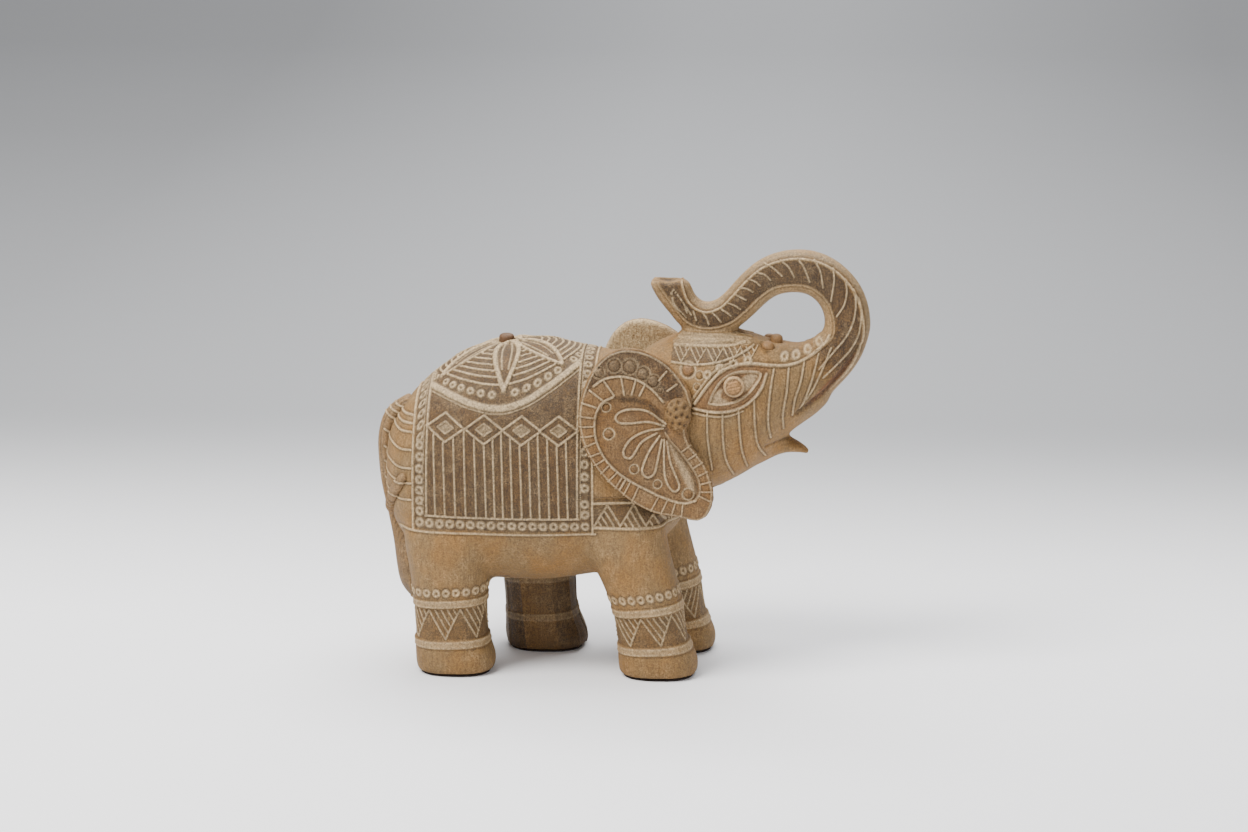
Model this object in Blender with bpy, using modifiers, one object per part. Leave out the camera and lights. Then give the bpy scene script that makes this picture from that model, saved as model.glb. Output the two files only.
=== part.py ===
"""A carved wooden elephant with a raised trunk, built up from glued and pegged pieces.

The frame: metres, +Z up, +X towards the trunk, +Y to the elephant's left. The origin is at the
centre of the object's box, on the surface that the felt pads stand on. Sizes below are in
millimetres and are turned into metres by MM when a mesh is made.

The carver's order is kept. One carcass (body, legs, head and trunk) is roughed out and smoothed,
sawn through at the neck, and the two blocks are dowelled together. Ears, tail, eyes, studs and
pads are separate pieces, each bedded in a seat cut one glue line larger than itself.
"""

import math

import bmesh
import bpy
import numpy as np
from mathutils import Matrix, Vector

MM = 0.001

# ---- driving dimensions, in millimetres ---------------------------------------------------------
GLUE_GAP = 0.3
PAD_THICKNESS = 0.6
SOLE_Z = PAD_THICKNESS + GLUE_GAP
CARVING_VOXEL = 1.1
BLEND_PASSES = 12
BODY_TRIANGLES = 4400
HEAD_TRIANGLES = 3600

# Torso stations from rump to chest: x, belly z, back z, half width.
TORSO = [
    (-85.6, 63.0, 81.0, 7.0),
    (-83.6, 54.0, 88.4, 16.0),
    (-77.0, 44.0, 97.6, 25.0),
    (-64.0, 34.5, 109.8, 30.0),
    (-48.0, 31.5, 117.6, 32.2),
    (-30.0, 30.6, 119.2, 32.6),
    (-14.0, 32.6, 116.4, 31.5),
    (0.0, 36.0, 113.5, 28.5),
    (12.0, 44.0, 111.0, 24.5),
    (20.0, 52.0, 106.0, 18.5),
    (25.0, 61.0, 98.0, 11.0),
]
TORSO_WAIST = 0.42  # how far up its height the torso is widest
TORSO_SQUARENESS = 2.3

# Skull stations from neck to face: x, throat z, crown z, half width.
SKULL = [
    (4.0, 78.0, 112.0, 13.0),
    (11.0, 67.0, 117.5, 19.0),
    (22.0, 62.5, 121.8, 23.2),
    (34.0, 66.0, 122.6, 23.8),
    (44.0, 71.2, 122.0, 21.6),
    (51.0, 76.6, 120.2, 19.0),
    (57.0, 83.5, 119.2, 16.2),
    (63.0, 88.4, 118.2, 13.6),
    (69.0, 92.6, 118.6, 11.2),
    (74.0, 97.4, 119.0, 8.6),
]
SKULL_WAIST = 0.5
SKULL_SQUARENESS = 2.3

# Trunk stations from face to tip: x, z, half thickness in the plane of the loop, half width.
TRUNK = [
    (58.6, 103.2, 13.8, 12.0),
    (67.6, 108.6, 10.9, 10.4),
    (75.6, 114.8, 8.9, 9.0),
    (79.6, 120.9, 7.9, 8.0),
    (80.2, 127.6, 7.7, 7.4),
    (78.1, 135.0, 7.6, 7.0),
    (73.3, 140.9, 7.4, 6.8),
    (67.3, 144.2, 7.3, 6.7),
    (60.3, 144.8, 7.2, 6.6),
    (52.7, 142.9, 6.7, 6.4),
    (46.8, 138.4, 6.3, 6.2),
    (42.0, 133.2, 6.1, 6.0),
    (37.0, 128.8, 5.8, 5.8),
    (30.6, 126.8, 5.4, 5.6),
    (24.6, 128.2, 5.4, 5.4),
    (20.2, 133.0, 5.2, 5.4),
]
TRUNK_TIP = (16.0, 140.9, 7.0, 5.8)
TIP_WAIST = 0.9  # the trunk's size just before it widens into the tip, as a share of the tip's
TRUNK_SQUARENESS = 2.8
NOSTRIL_RADIUS = 9.0  # the ball that hollows the sawn tip
NOSTRIL_DEPTH = 1.8

# Lower lip stations: x, z, half height, half width.
LIP = [
    (42.0, 79.4, 8.0, 13.0),
    (50.0, 80.2, 5.6, 10.4),
    (57.0, 81.4, 3.2, 7.4),
    (63.0, 80.4, 2.0, 4.8),
    (67.4, 78.4, 1.0, 2.2),
]

# Legs from sole to hip: z, x centre, half length, half width. Their middles stand at these y.
RIGHT_Y = -18.2
LEFT_Y = 17.2
HIND_RIGHT = [
    (0.0, -59.5, 14.2, 13.2),
    (5.0, -59.4, 14.6, 13.6),
    (10.0, -60.4, 13.8, 13.2),
    (16.0, -61.0, 13.4, 12.8),
    (26.0, -61.2, 13.5, 12.8),
    (38.0, -61.6, 14.4, 13.2),
    (50.0, -61.6, 16.2, 13.0),
    (62.0, -59.0, 16.8, 10.8),
]
HIND_LEFT = [
    (0.0, -29.8, 14.8, 14.0),
    (5.0, -29.7, 15.2, 14.4),
    (10.0, -31.0, 13.8, 14.0),
    (16.0, -31.8, 13.2, 13.6),
    (26.0, -32.4, 13.4, 13.4),
    (38.0, -34.0, 14.4, 13.4),
    (50.0, -37.6, 16.2, 13.0),
    (62.0, -42.0, 16.8, 10.8),
]
FRONT_RIGHT = [
    (0.0, 14.0, 14.2, 13.2),
    (5.0, 13.9, 14.6, 13.6),
    (10.0, 12.8, 13.6, 13.2),
    (16.0, 11.4, 12.9, 12.8),
    (26.0, 9.8, 13.2, 12.8),
    (38.0, 5.8, 14.0, 13.0),
    (50.0, 1.6, 15.4, 12.6),
    (62.0, -1.0, 17.0, 10.8),
]
FRONT_LEFT_AHEAD = 4.4
LEG_SQUARENESS = 2.5

# The neck joint: a saw cut through the figure under the ears, from nape to throat.
NAPE = (4.0, 116.0)
THROAT = (26.0, 57.0)
NECK_DOWEL_RADIUS = 4.0
NECK_DOWEL_LENGTH = 26.0
NECK_DOWEL_HEIGHTS = (102.0, 78.0)

# Ear outline in the side view, as x and z, round the edge from the rosette peg.
EAR_OUTLINE = [
    (26.2, 101.0),
    (23.6, 107.6),
    (17.4, 115.0),
    (8.8, 119.8),
    (0.2, 120.6),
    (-6.6, 116.8),
    (-11.4, 108.6),
    (-13.8, 98.0),
    (-12.0, 87.4),
    (-6.0, 77.2),
    (3.0, 68.6),
    (12.6, 63.0),
    (21.8, 61.0),
    (28.8, 59.4),
    (32.6, 62.2),
    (34.1, 69.0),
    (31.3, 78.4),
    (26.0, 86.0),
    (24.2, 92.6),
]
EAR_CENTRE = (8.0, 91.0)
EAR_ROOT = (19.8, 97.6)
EAR_ROOT_Y = 24.2
EAR_FLARE_BACK = 0.22
EAR_FLARE_DOWN = 0.18
EAR_THICKNESS = 3.6
EAR_ROUNDING = 1.1  # how far in from its edge the ear is rounded over
EAR_RINGS = 4
EAR_STEPS = 52
LEFT_EAR_AHEAD = (2.2, 0.0, 0.8)  # the left ear is set this much further forward and up

PEG_RADIUS = 2.0
PEG_LENGTH = 17.0
ROSETTE_RADIUS = 4.8
ROSETTE_RIM = 0.6
ROSETTE_RISE = 2.2
TURNED_STEPS = 24
DOME_STEPS = 5

# Round plugs and studs. PROUD is how far one stands out of the wood, DEPTH how deep it is let in.
EYE = (40.7, 21.2, 106.8)
EYE_FACES = (0.12, 1.0, 0.28)
EYE_RADIUS = 3.4
EYE_PROUD = 1.3
EYE_DEPTH = 6.0
LOTUS_BOSS = (-42.3, 0.0, 119.0)
LOTUS_BOSS_RADIUS = 2.3
LOTUS_BOSS_PROUD = 0.9
LOTUS_BOSS_DEPTH = 9.0
BROW_STUD_RADIUS = 1.8
BROW_STUD_PROUD = 1.7
BROW_STUD_DEPTH = 5.0
BROW_STUD_CENTRE = (54.8, 0.0, 119.6)
BROW_STUD_SIDE = (52.0, 6.6, 118.2)
BROW_STUD_CENTRE_FACES = (0.1, 0.0, 1.0)
BROW_STUD_SIDE_FACES = (0.1, 0.55, 1.0)

# Tail from root to tip: x, y, z, half thickness, half width. It lies along the rump.
TAIL = [
    (-77.6, 0.0, 95.4, 2.0, 4.4),
    (-83.8, 0.0, 90.0, 2.9, 5.0),
    (-86.3, 0.0, 82.0, 3.0, 5.0),
    (-86.2, 0.0, 73.0, 3.0, 4.8),
    (-85.3, 0.0, 64.5, 3.0, 4.6),
    (-83.2, -1.6, 55.5, 3.0, 4.6),
    (-80.6, -5.6, 46.5, 3.2, 5.0),
    (-78.3, -9.0, 38.0, 3.9, 6.0),
    (-77.2, -10.6, 30.4, 3.2, 4.8),
    (-76.0, -11.2, 24.8, 1.0, 1.6),
]
# The loose strand of the tail, from the right rump down to where it joins the rest.
TAIL_STRAND = [
    (-77.2, -24.4, 73.0, 1.3, 1.3),
    (-80.2, -21.4, 68.2, 1.9, 1.8),
    (-82.6, -16.4, 63.0, 1.9, 1.9),
    (-84.0, -10.0, 58.2, 1.9, 2.0),
    (-83.2, -3.0, 54.6, 1.6, 1.9),
]
TAIL_WRAP = 20.0  # y at which the rump has turned half way from the back to the side
TAIL_SQUARENESS = 2.2
TAIL_DOWEL_RADIUS = 1.4
TAIL_DOWEL_LENGTH = 12.0
TAIL_DOWEL_MIDDLE = (-79.6, 0.0, 82.0)

PAD_MARGIN = 1.6  # the felt stops this far inside the sole's edge

WOOD = {"base": (0.46, 0.29, 0.16), "roughness": 0.7}
DARK_WOOD = {"base": (0.25, 0.14, 0.07), "roughness": 0.6}
DOWEL_WOOD = {"base": (0.62, 0.47, 0.29), "roughness": 0.75}
FELT = {"base": (0.03, 0.025, 0.02), "roughness": 0.95}


# ---- small helpers ------------------------------------------------------------------------------
def clear_scene():
    for obj in list(bpy.data.objects):
        bpy.data.objects.remove(obj, do_unlink=True)


def collection(name):
    made = bpy.data.collections.new(name)
    bpy.context.scene.collection.children.link(made)
    return made


def material(name, base, roughness):
    made = bpy.data.materials.new(name)
    made.use_nodes = True
    shader = made.node_tree.nodes["Principled BSDF"]
    shader.inputs["Base Color"].default_value = (*base, 1.0)
    shader.inputs["Roughness"].default_value = roughness
    return made


def smooth_rows(rows, steps):
    """Rows of numbers on a Catmull-Rom spline through the given rows, steps to each span."""
    rows = np.asarray(rows, float)
    padded = np.vstack([2 * rows[0] - rows[1], rows, 2 * rows[-1] - rows[-2]])
    found = []
    for i in range(1, len(padded) - 2):
        before, here, there, after = padded[i - 1 : i + 3]
        for t in np.linspace(0.0, 1.0, steps, endpoint=False):
            found.append(
                here
                + 0.5 * t * (there - before)
                + t**2 * (before - 2.5 * here + 2 * there - 0.5 * after)
                + 0.5 * t**3 * (after - 3 * there + 3 * here - before)
            )
    return np.vstack([found, rows[-1]])


def closed_outline(points, count):
    """count points on a closed smooth curve through the given ones, evenly spaced along it."""
    points = np.asarray(points, float)
    wrapped = np.vstack([points[-2:], points, points[:3]])
    dense = smooth_rows(wrapped, 12)[24 : 24 + 12 * len(points) + 1]
    along = np.concatenate([[0], np.cumsum(np.linalg.norm(np.diff(dense, axis=0), axis=1))])
    at = np.linspace(0, along[-1], count, endpoint=False)
    return np.stack([np.interp(at, along, dense[:, k]) for k in range(2)], axis=1)


def section(centre, side, up, half_side, half_up, squareness, count=32):
    """A ring of points on a superellipse round centre, in the plane of side and up."""
    turn = np.linspace(0, 2 * math.pi, count, endpoint=False)
    power = 2.0 / squareness
    across = np.sign(np.cos(turn)) * np.abs(np.cos(turn)) ** power * half_side
    height = np.sign(np.sin(turn)) * np.abs(np.sin(turn)) ** power * half_up
    return np.asarray(centre) + np.outer(across, side) + np.outer(height, up)


def loft(name, rings):
    """A closed solid through rings of equally many points, in millimetres, capped at both ends."""
    bm = bmesh.new()
    loops = [[bm.verts.new(Vector(p) * MM) for p in ring] for ring in rings]
    for a, b in zip(loops, loops[1:]):
        for i in range(len(a)):
            j = (i + 1) % len(a)
            bm.faces.new((a[i], a[j], b[j], b[i]))
    bm.faces.new(list(reversed(loops[0])))
    bm.faces.new(loops[-1])
    bmesh.ops.recalc_face_normals(bm, faces=bm.faces)
    return object_from(bm, name)


def object_from(bm, name):
    mesh = bpy.data.meshes.new(name)
    bm.to_mesh(mesh)
    bm.free()
    obj = bpy.data.objects.new(name, mesh)
    CUTTERS.objects.link(obj)
    return obj


def evaluated_mesh(obj):
    """The mesh that obj's modifiers make, in world space, with its faces outward."""
    graph = bpy.context.evaluated_depsgraph_get()
    mesh = bpy.data.meshes.new_from_object(obj.evaluated_get(graph), depsgraph=graph)
    mesh.transform(obj.matrix_world)
    bm = bmesh.new()
    bm.from_mesh(mesh)
    bmesh.ops.recalc_face_normals(bm, faces=bm.faces)
    bm.to_mesh(mesh)
    bm.free()
    return mesh


def joined(name, parts):
    """One mesh object that holds the shells of all the parts, which are removed."""
    bm = bmesh.new()
    for part in parts:
        bm.from_mesh(part.data)
        bpy.data.objects.remove(part)
    return object_from(bm, name)


def keep_side(source, name, point, normal):
    """The part of source on the side that normal points to, closed by a flat face at the cut."""
    bm = bmesh.new()
    bm.from_mesh(source.data)
    bmesh.ops.bisect_plane(
        bm,
        geom=bm.verts[:] + bm.edges[:] + bm.faces[:],
        dist=1e-7,
        plane_co=Vector(point) * MM,
        plane_no=normal,
        clear_inner=True,
    )
    rim = [e for e in bm.edges if e.is_boundary]
    bmesh.ops.holes_fill(bm, edges=rim, sides=0)
    bmesh.ops.recalc_face_normals(bm, faces=bm.faces)
    bmesh.ops.triangulate(bm, faces=bm.faces)
    return object_from(bm, name)


def cut(obj, cutters):
    """Cuts each cutter's solid out of obj, leaving the Booleans on it as modifiers."""
    for cutter in cutters:
        boolean = obj.modifiers.new("seat for " + cutter.name, "BOOLEAN")
        boolean.operation = "DIFFERENCE"
        boolean.solver = "EXACT"
        boolean.object = cutter


def as_cutter(obj):
    obj.hide_render = True
    obj.display_type = "WIRE"
    return obj


def as_part(obj, name, look):
    """Moves obj from the cutters to the object's own collection, under its own name."""
    CUTTERS.objects.unlink(obj)
    ELEPHANT.objects.link(obj)
    obj.name = name
    obj.data.materials.clear()
    obj.data.materials.append(look)
    obj.data.shade_smooth()
    obj.data.set_sharp_from_angle(angle=math.radians(50))
    return obj


def left_copy(obj, name):
    """obj mirrored to the left side and moved by the left ear's own offset."""
    mesh = evaluated_mesh(obj)
    shift = Matrix.Translation(Vector(LEFT_EAR_AHEAD) * MM)
    mesh.transform(shift @ Matrix.Scale(-1, 4, (0, 1, 0)))
    mesh.flip_normals()
    made = bpy.data.objects.new(name, mesh)
    CUTTERS.objects.link(made)
    return made


# ---- the carcass --------------------------------------------------------------------------------
def body_rings(stations, waist, squareness):
    """Rings across X: an upper and a lower half ellipse that meet at the widest level."""
    rings = []
    for x, low, high, half_width in smooth_rows(stations, 4):
        middle = low + waist * (high - low)
        ring = section((x, 0, 0), (0, 1, 0), (0, 0, 1), half_width, 1.0, squareness, 40)
        above = ring[:, 2] > 0
        ring[:, 2] = np.where(above, ring[:, 2] * (high - middle), ring[:, 2] * (middle - low))
        ring[:, 2] += middle
        rings.append(ring)
    return rings


def trunk_rings():
    rows = smooth_rows(TRUNK, 3)
    rings = []
    for i, (x, z, half_thick, half_wide) in enumerate(rows):
        before, after = rows[max(i - 1, 0)], rows[min(i + 1, len(rows) - 1)]
        along = np.array([after[0] - before[0], 0.0, after[1] - before[1]])
        along /= np.linalg.norm(along)
        normal = np.array([-along[2], 0.0, along[0]])
        ring = section((x, 0, z), (0, 1, 0), normal, half_wide, half_thick, TRUNK_SQUARENESS)
        rings.append(ring)
    x, z, half_thick, half_wide = TRUNK_TIP
    level_normal = (-1.0, 0.0, 0.0)  # the tip is sawn off level, so its last ring lies flat
    tip = section((x, 0, z), (0, 1, 0), level_normal, half_wide, half_thick, TRUNK_SQUARENESS)
    turned = normal if np.dot(normal, level_normal) > 0 else -normal
    between = section(
        ((x + rows[-1][0]) / 2, 0, (z + rows[-1][1]) / 2),
        (0, 1, 0),
        (turned + np.array(level_normal)) / np.linalg.norm(turned + np.array(level_normal)),
        half_wide * TIP_WAIST,
        half_thick * TIP_WAIST,
        TRUNK_SQUARENESS,
    )
    if np.dot(normal, level_normal) < 0:
        tip, between = np.roll(tip[::-1], 1, 0), np.roll(between[::-1], 1, 0)
    return [*rings, between, tip]


def lip_rings():
    rows = smooth_rows(LIP, 3)
    return [
        section((x, 0, z), (0, 1, 0), (0, 0, 1), half_wide, half_high, 2.2, 24)
        for x, z, half_high, half_wide in rows
    ]


def leg_rings(stations, y, ahead=0.0):
    """Level rings round a leg, from its sole to well inside the torso."""
    rings = []
    for z, x, half_long, half_wide in smooth_rows(stations, 3):
        ring = section((x + ahead, y, z), (1, 0, 0), (0, 1, 0), half_long, half_wide, LEG_SQUARENESS)
        rings.append(ring)
    return rings


def carve_carcass():
    """Torso, legs, head and trunk as one smoothed solid, still in one piece at the neck."""
    shells = [
        loft("torso", body_rings(TORSO, TORSO_WAIST, TORSO_SQUARENESS)),
        loft("skull", body_rings(SKULL, SKULL_WAIST, SKULL_SQUARENESS)),
        loft("trunk", trunk_rings()),
        loft("lip", lip_rings()),
        loft("hind right", leg_rings(HIND_RIGHT, RIGHT_Y)),
        loft("hind left", leg_rings(HIND_LEFT, LEFT_Y)),
        loft("front right", leg_rings(FRONT_RIGHT, RIGHT_Y)),
        loft("front left", leg_rings(FRONT_RIGHT, LEFT_Y, FRONT_LEFT_AHEAD)),
    ]
    carcass = joined("carcass", shells)
    remesh = carcass.modifiers.new("rough out", "REMESH")
    remesh.mode = "VOXEL"
    remesh.voxel_size = CARVING_VOXEL * MM
    blend = carcass.modifiers.new("blend", "SMOOTH")
    blend.factor = 0.5
    blend.iterations = BLEND_PASSES
    carcass.data = evaluated_mesh(carcass)
    carcass.modifiers.clear()
    return carcass


def thinned(obj, triangles):
    """obj with its mesh reduced to about this many triangles."""
    obj.data.calc_loop_triangles()
    thin = obj.modifiers.new("thin", "DECIMATE")
    thin.ratio = triangles / len(obj.data.loop_triangles)
    thin.use_collapse_triangulate = True
    obj.data = evaluated_mesh(obj)
    obj.modifiers.clear()
    return obj


def neck_normal():
    along = Vector((THROAT[0] - NAPE[0], 0, THROAT[1] - NAPE[1])).normalized()
    return Vector((-along.z, 0, along.x))


def neck_point(z):
    share = (z - NAPE[1]) / (THROAT[1] - NAPE[1])
    return Vector((NAPE[0] + share * (THROAT[0] - NAPE[0]), 0, z))


# ---- separate pieces ----------------------------------------------------------------------------
def turned(name, profile, root, axis):
    """A round solid from (radius, height) points. Height runs along axis from root."""
    bm = bmesh.new()
    verts = [bm.verts.new(Vector((r, 0, h)) * MM) for r, h in profile]
    for a, b in zip(verts, verts[1:]):
        bm.edges.new((a, b))
    obj = object_from(bm, name)
    screw = obj.modifiers.new("turned", "SCREW")
    screw.steps = screw.render_steps = TURNED_STEPS
    screw.use_merge_vertices = True
    screw.merge_threshold = 0.00001
    turn = Vector((0, 0, 1)).rotation_difference(Vector(axis)).to_matrix().to_4x4()
    obj.matrix_world = Matrix.Translation(Vector(root) * MM) @ turn
    bpy.context.view_layer.update()
    obj.data = evaluated_mesh(obj)
    obj.modifiers.clear()
    obj.matrix_world = Matrix.Identity(4)
    return obj


def dome(radius, rise, base):
    """Profile points of a rounded top, from the axis down to its rim at height base."""
    return [
        (radius * math.sin(a), base + rise * math.cos(a))
        for a in np.linspace(0, math.pi / 2, DOME_STEPS)
    ]


def plug(name, centre, axis, radius, proud, depth):
    """A round plug with a domed end. centre lies on the wood's surface, axis points out."""
    profile = dome(radius, 0.7 * proud, 0.3 * proud) + [(radius, -depth), (0, -depth)]
    return turned(name, profile, centre, axis)


def plug_hole(name, centre, axis, radius, depth):
    wide, bottom = radius + GLUE_GAP, -depth - GLUE_GAP
    profile = [(0, wide), (wide, wide), (wide, bottom), (0, bottom)]
    return as_cutter(turned(name, profile, centre, axis))


def dowel(name, middle, axis, radius, length, grow=0.0):
    reach = length / 2 + grow
    profile = [(0, reach), (radius + grow, reach), (radius + grow, -reach), (0, -reach)]
    return turned(name, profile, middle, axis)


def sphere(name, centre, radius):
    bm = bmesh.new()
    bmesh.ops.create_uvsphere(bm, u_segments=24, v_segments=16, radius=radius * MM)
    bmesh.ops.translate(bm, verts=bm.verts, vec=Vector(centre) * MM)
    return object_from(bm, name)


def ear_y(x, z):
    """The middle of the right ear's thickness: it flares out towards its back and lower edge."""
    back = EAR_FLARE_BACK * (EAR_ROOT[0] - x)
    down = EAR_FLARE_DOWN * (EAR_ROOT[1] - z)
    return -(EAR_ROOT_Y + back + down)


def ear_normal():
    """Out of the right ear's carved face."""
    return Vector((EAR_FLARE_BACK, -1.0, EAR_FLARE_DOWN)).normalized()


def ear_root():
    return (EAR_ROOT[0], ear_y(*EAR_ROOT), EAR_ROOT[1])


def right_ear(name, grow=0.0):
    outline = closed_outline(EAR_OUTLINE, EAR_STEPS)
    centre = np.array(EAR_CENTRE)
    away = outline - centre
    outline = outline + grow * away / np.linalg.norm(away, axis=1)[:, None]
    bm = bmesh.new()
    hub = bm.verts.new(Vector((centre[0], ear_y(*centre), centre[1])) * MM)
    rings = []
    for k in range(1, EAR_RINGS + 1):
        flat = centre + (outline - centre) * k / EAR_RINGS
        rings.append([bm.verts.new(Vector((x, ear_y(x, z), z)) * MM) for x, z in flat])
    for i in range(EAR_STEPS):
        j = (i + 1) % EAR_STEPS
        bm.faces.new((hub, rings[0][i], rings[0][j]))
        for a, b in zip(rings, rings[1:]):
            bm.faces.new((a[i], b[i], b[j], a[j]))
    bmesh.ops.recalc_face_normals(bm, faces=bm.faces)
    ear = object_from(bm, name)
    shell = ear.modifiers.new("thickness", "SOLIDIFY")
    shell.thickness = (EAR_THICKNESS + 2 * grow) * MM
    shell.offset = 0.0
    edge = ear.modifiers.new("rounded rim", "BEVEL")
    edge.width = EAR_ROUNDING * MM
    edge.segments = 2
    edge.angle_limit = math.radians(60)
    return ear


def right_ear_peg(name):
    """A turned peg: shank through the ear into the head, and a domed head, the rosette."""
    seat = EAR_THICKNESS / 2 + GLUE_GAP
    profile = dome(ROSETTE_RADIUS, ROSETTE_RISE, seat + ROSETTE_RIM)
    profile += [(ROSETTE_RADIUS, seat), (PEG_RADIUS, seat)]
    profile += [(PEG_RADIUS, seat - PEG_LENGTH), (0, seat - PEG_LENGTH)]
    return turned(name, profile, ear_root(), ear_normal())


def right_peg_hole(name):
    """The hole for the shank. Its outer end lies just clear of the ear's carved face."""
    wide = PEG_RADIUS + GLUE_GAP
    top, bottom = EAR_THICKNESS, EAR_THICKNESS / 2 - PEG_LENGTH
    return as_cutter(
        turned(name, [(0, top), (wide, top), (wide, bottom), (0, bottom)], ear_root(), ear_normal())
    )


def strand_rings(stations, grow):
    """Rings square to a strand's run. Its width lies along the rump, its thickness out of it."""
    rows = smooth_rows(stations, 3)
    rings = []
    for i, row in enumerate(rows):
        middle, half_thick, half_wide = row[:3], row[3], row[4]
        along = rows[min(i + 1, len(rows) - 1)][:3] - rows[max(i - 1, 0)][:3]
        along /= np.linalg.norm(along)
        out = np.array([-1.0, middle[1] / TAIL_WRAP, 0.0])
        side = np.cross(along, out)
        side /= np.linalg.norm(side)
        up = np.cross(side, along)
        end = grow * along * ((i == len(rows) - 1) - (i == 0))
        size = (half_wide + grow, half_thick + grow)
        rings.append(section(middle + end, side, up, *size, TAIL_SQUARENESS, 16))
    return rings


def tail(name, grow=0.0):
    """The tail with its loose strand. Grown, it is the cutter for its own seat."""
    strand = as_cutter(loft(name + " strand", strand_rings(TAIL_STRAND, grow)))
    made = loft(name, strand_rings(TAIL, grow))
    union = made.modifiers.new("strand", "BOOLEAN")
    union.operation = "UNION"
    union.solver = "EXACT"
    union.object = strand
    return made


def pad(name, x, y, half_long, half_wide):
    edge = section((x, y, 0), (1, 0, 0), (0, 1, 0), half_long, half_wide, LEG_SQUARENESS, 28)
    return loft(name, [edge, edge + np.array([0, 0, PAD_THICKNESS])])


# ---- assembly -----------------------------------------------------------------------------------
def main():
    looks = {
        "wood": material("stained_wood", **WOOD),
        "dark": material("dark_turned_wood", **DARK_WOOD),
        "dowel": material("dowel_wood", **DOWEL_WOOD),
        "felt": material("felt", **FELT),
    }
    carcass = carve_carcass()
    normal = neck_normal()

    pieces = {}
    seats_in_head, seats_in_body = [], []

    pieces["right_ear"] = right_ear("right_ear")
    ear_seat = as_cutter(right_ear("ear seat", GLUE_GAP))
    peg_hole = right_peg_hole("peg hole")
    left_peg_hole = as_cutter(left_copy(peg_hole, "left peg hole"))
    left_ear_seat = as_cutter(left_copy(ear_seat, "left ear seat"))
    pieces["left_ear"] = left_copy(pieces["right_ear"], "left_ear")
    cut(pieces["right_ear"], [peg_hole])
    cut(pieces["left_ear"], [left_peg_hole])
    pieces["right_ear_peg"] = right_ear_peg("right_ear_peg")
    pieces["left_ear_peg"] = left_copy(pieces["right_ear_peg"], "left_ear_peg")
    seats_in_head += [ear_seat, left_ear_seat, peg_hole, left_peg_hole]

    def fit_plug(name, centre, axis, radius, proud, depth, seats):
        pieces[name] = plug(name, centre, axis, radius, proud, depth)
        seats.append(plug_hole(name + " hole", centre, axis, radius, depth))

    ball = (TRUNK_TIP[0], 0, TRUNK_TIP[1] + NOSTRIL_RADIUS - NOSTRIL_DEPTH)
    seats_in_head.append(as_cutter(sphere("nostril", ball, NOSTRIL_RADIUS)))

    eye = (EYE_RADIUS, EYE_PROUD, EYE_DEPTH)
    stud = (BROW_STUD_RADIUS, BROW_STUD_PROUD, BROW_STUD_DEPTH)
    for side, y in (("right", -1), ("left", 1)):
        mirror = np.array([1, y, 1])
        at, faces = mirror * EYE, mirror * EYE_FACES
        fit_plug(side + "_eye", at, faces, *eye, seats_in_head)
        at, faces = mirror * BROW_STUD_SIDE, mirror * BROW_STUD_SIDE_FACES
        fit_plug(side + "_brow_stud", at, faces, *stud, seats_in_head)
    at, faces = BROW_STUD_CENTRE, BROW_STUD_CENTRE_FACES
    fit_plug("centre_brow_stud", at, faces, *stud, seats_in_head)
    boss = (LOTUS_BOSS_RADIUS, LOTUS_BOSS_PROUD, LOTUS_BOSS_DEPTH)
    fit_plug("lotus_boss", LOTUS_BOSS, (0, 0, 1), *boss, seats_in_body)

    for name, z in zip(("upper_neck_dowel", "lower_neck_dowel"), NECK_DOWEL_HEIGHTS):
        size = (neck_point(z), normal, NECK_DOWEL_RADIUS, NECK_DOWEL_LENGTH)
        pieces[name] = dowel(name, *size)
        hole = as_cutter(dowel(name + " hole", *size, GLUE_GAP))
        seats_in_head.append(hole)
        seats_in_body.append(hole)

    pieces["tail"] = tail("tail")
    seats_in_body.append(as_cutter(tail("tail seat", GLUE_GAP)))
    size = (TAIL_DOWEL_MIDDLE, Vector((1, 0, 0)), TAIL_DOWEL_RADIUS, TAIL_DOWEL_LENGTH)
    pieces["tail_dowel"] = dowel("tail_dowel", *size)
    dowel_hole = as_cutter(dowel("tail dowel hole", *size, GLUE_GAP))
    seats_in_body.append(dowel_hole)
    cut(pieces["tail"], [dowel_hole])

    feet = {
        "right_hind_pad": (HIND_RIGHT, RIGHT_Y, 0.0),
        "left_hind_pad": (HIND_LEFT, LEFT_Y, 0.0),
        "right_front_pad": (FRONT_RIGHT, RIGHT_Y, 0.0),
        "left_front_pad": (FRONT_RIGHT, LEFT_Y, FRONT_LEFT_AHEAD),
    }
    for name, (leg, y, ahead) in feet.items():
        _, x, half_long, half_wide = leg[0]
        pieces[name] = pad(name, x + ahead, y, half_long - PAD_MARGIN, half_wide - PAD_MARGIN)

    sole = (0, 0, SOLE_Z)
    behind_neck = Vector(NAPE_POINT) - normal * GLUE_GAP
    body_side = thinned(keep_side(carcass, "body side", behind_neck, -normal), BODY_TRIANGLES)
    body = keep_side(body_side, "body_block", sole, (0, 0, 1))
    head = thinned(keep_side(carcass, "head_block", NAPE_POINT, normal), HEAD_TRIANGLES)
    bpy.data.objects.remove(carcass)
    bpy.data.objects.remove(body_side)
    cut(body, seats_in_body)
    cut(head, seats_in_head)
    pieces["body_block"] = body
    pieces["head_block"] = head

    finish = {
        "right_eye": "dark",
        "left_eye": "dark",
        "centre_brow_stud": "dark",
        "right_brow_stud": "dark",
        "left_brow_stud": "dark",
        "lotus_boss": "dark",
        "upper_neck_dowel": "dowel",
        "lower_neck_dowel": "dowel",
        "tail_dowel": "dowel",
        **{name: "felt" for name in feet},
    }
    for name, piece in pieces.items():
        as_part(piece, name, looks[finish.get(name, "wood")])


NAPE_POINT = (NAPE[0], 0.0, NAPE[1])
clear_scene()
ELEPHANT = collection("carved elephant")
CUTTERS = collection("cutters")
main()
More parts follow.
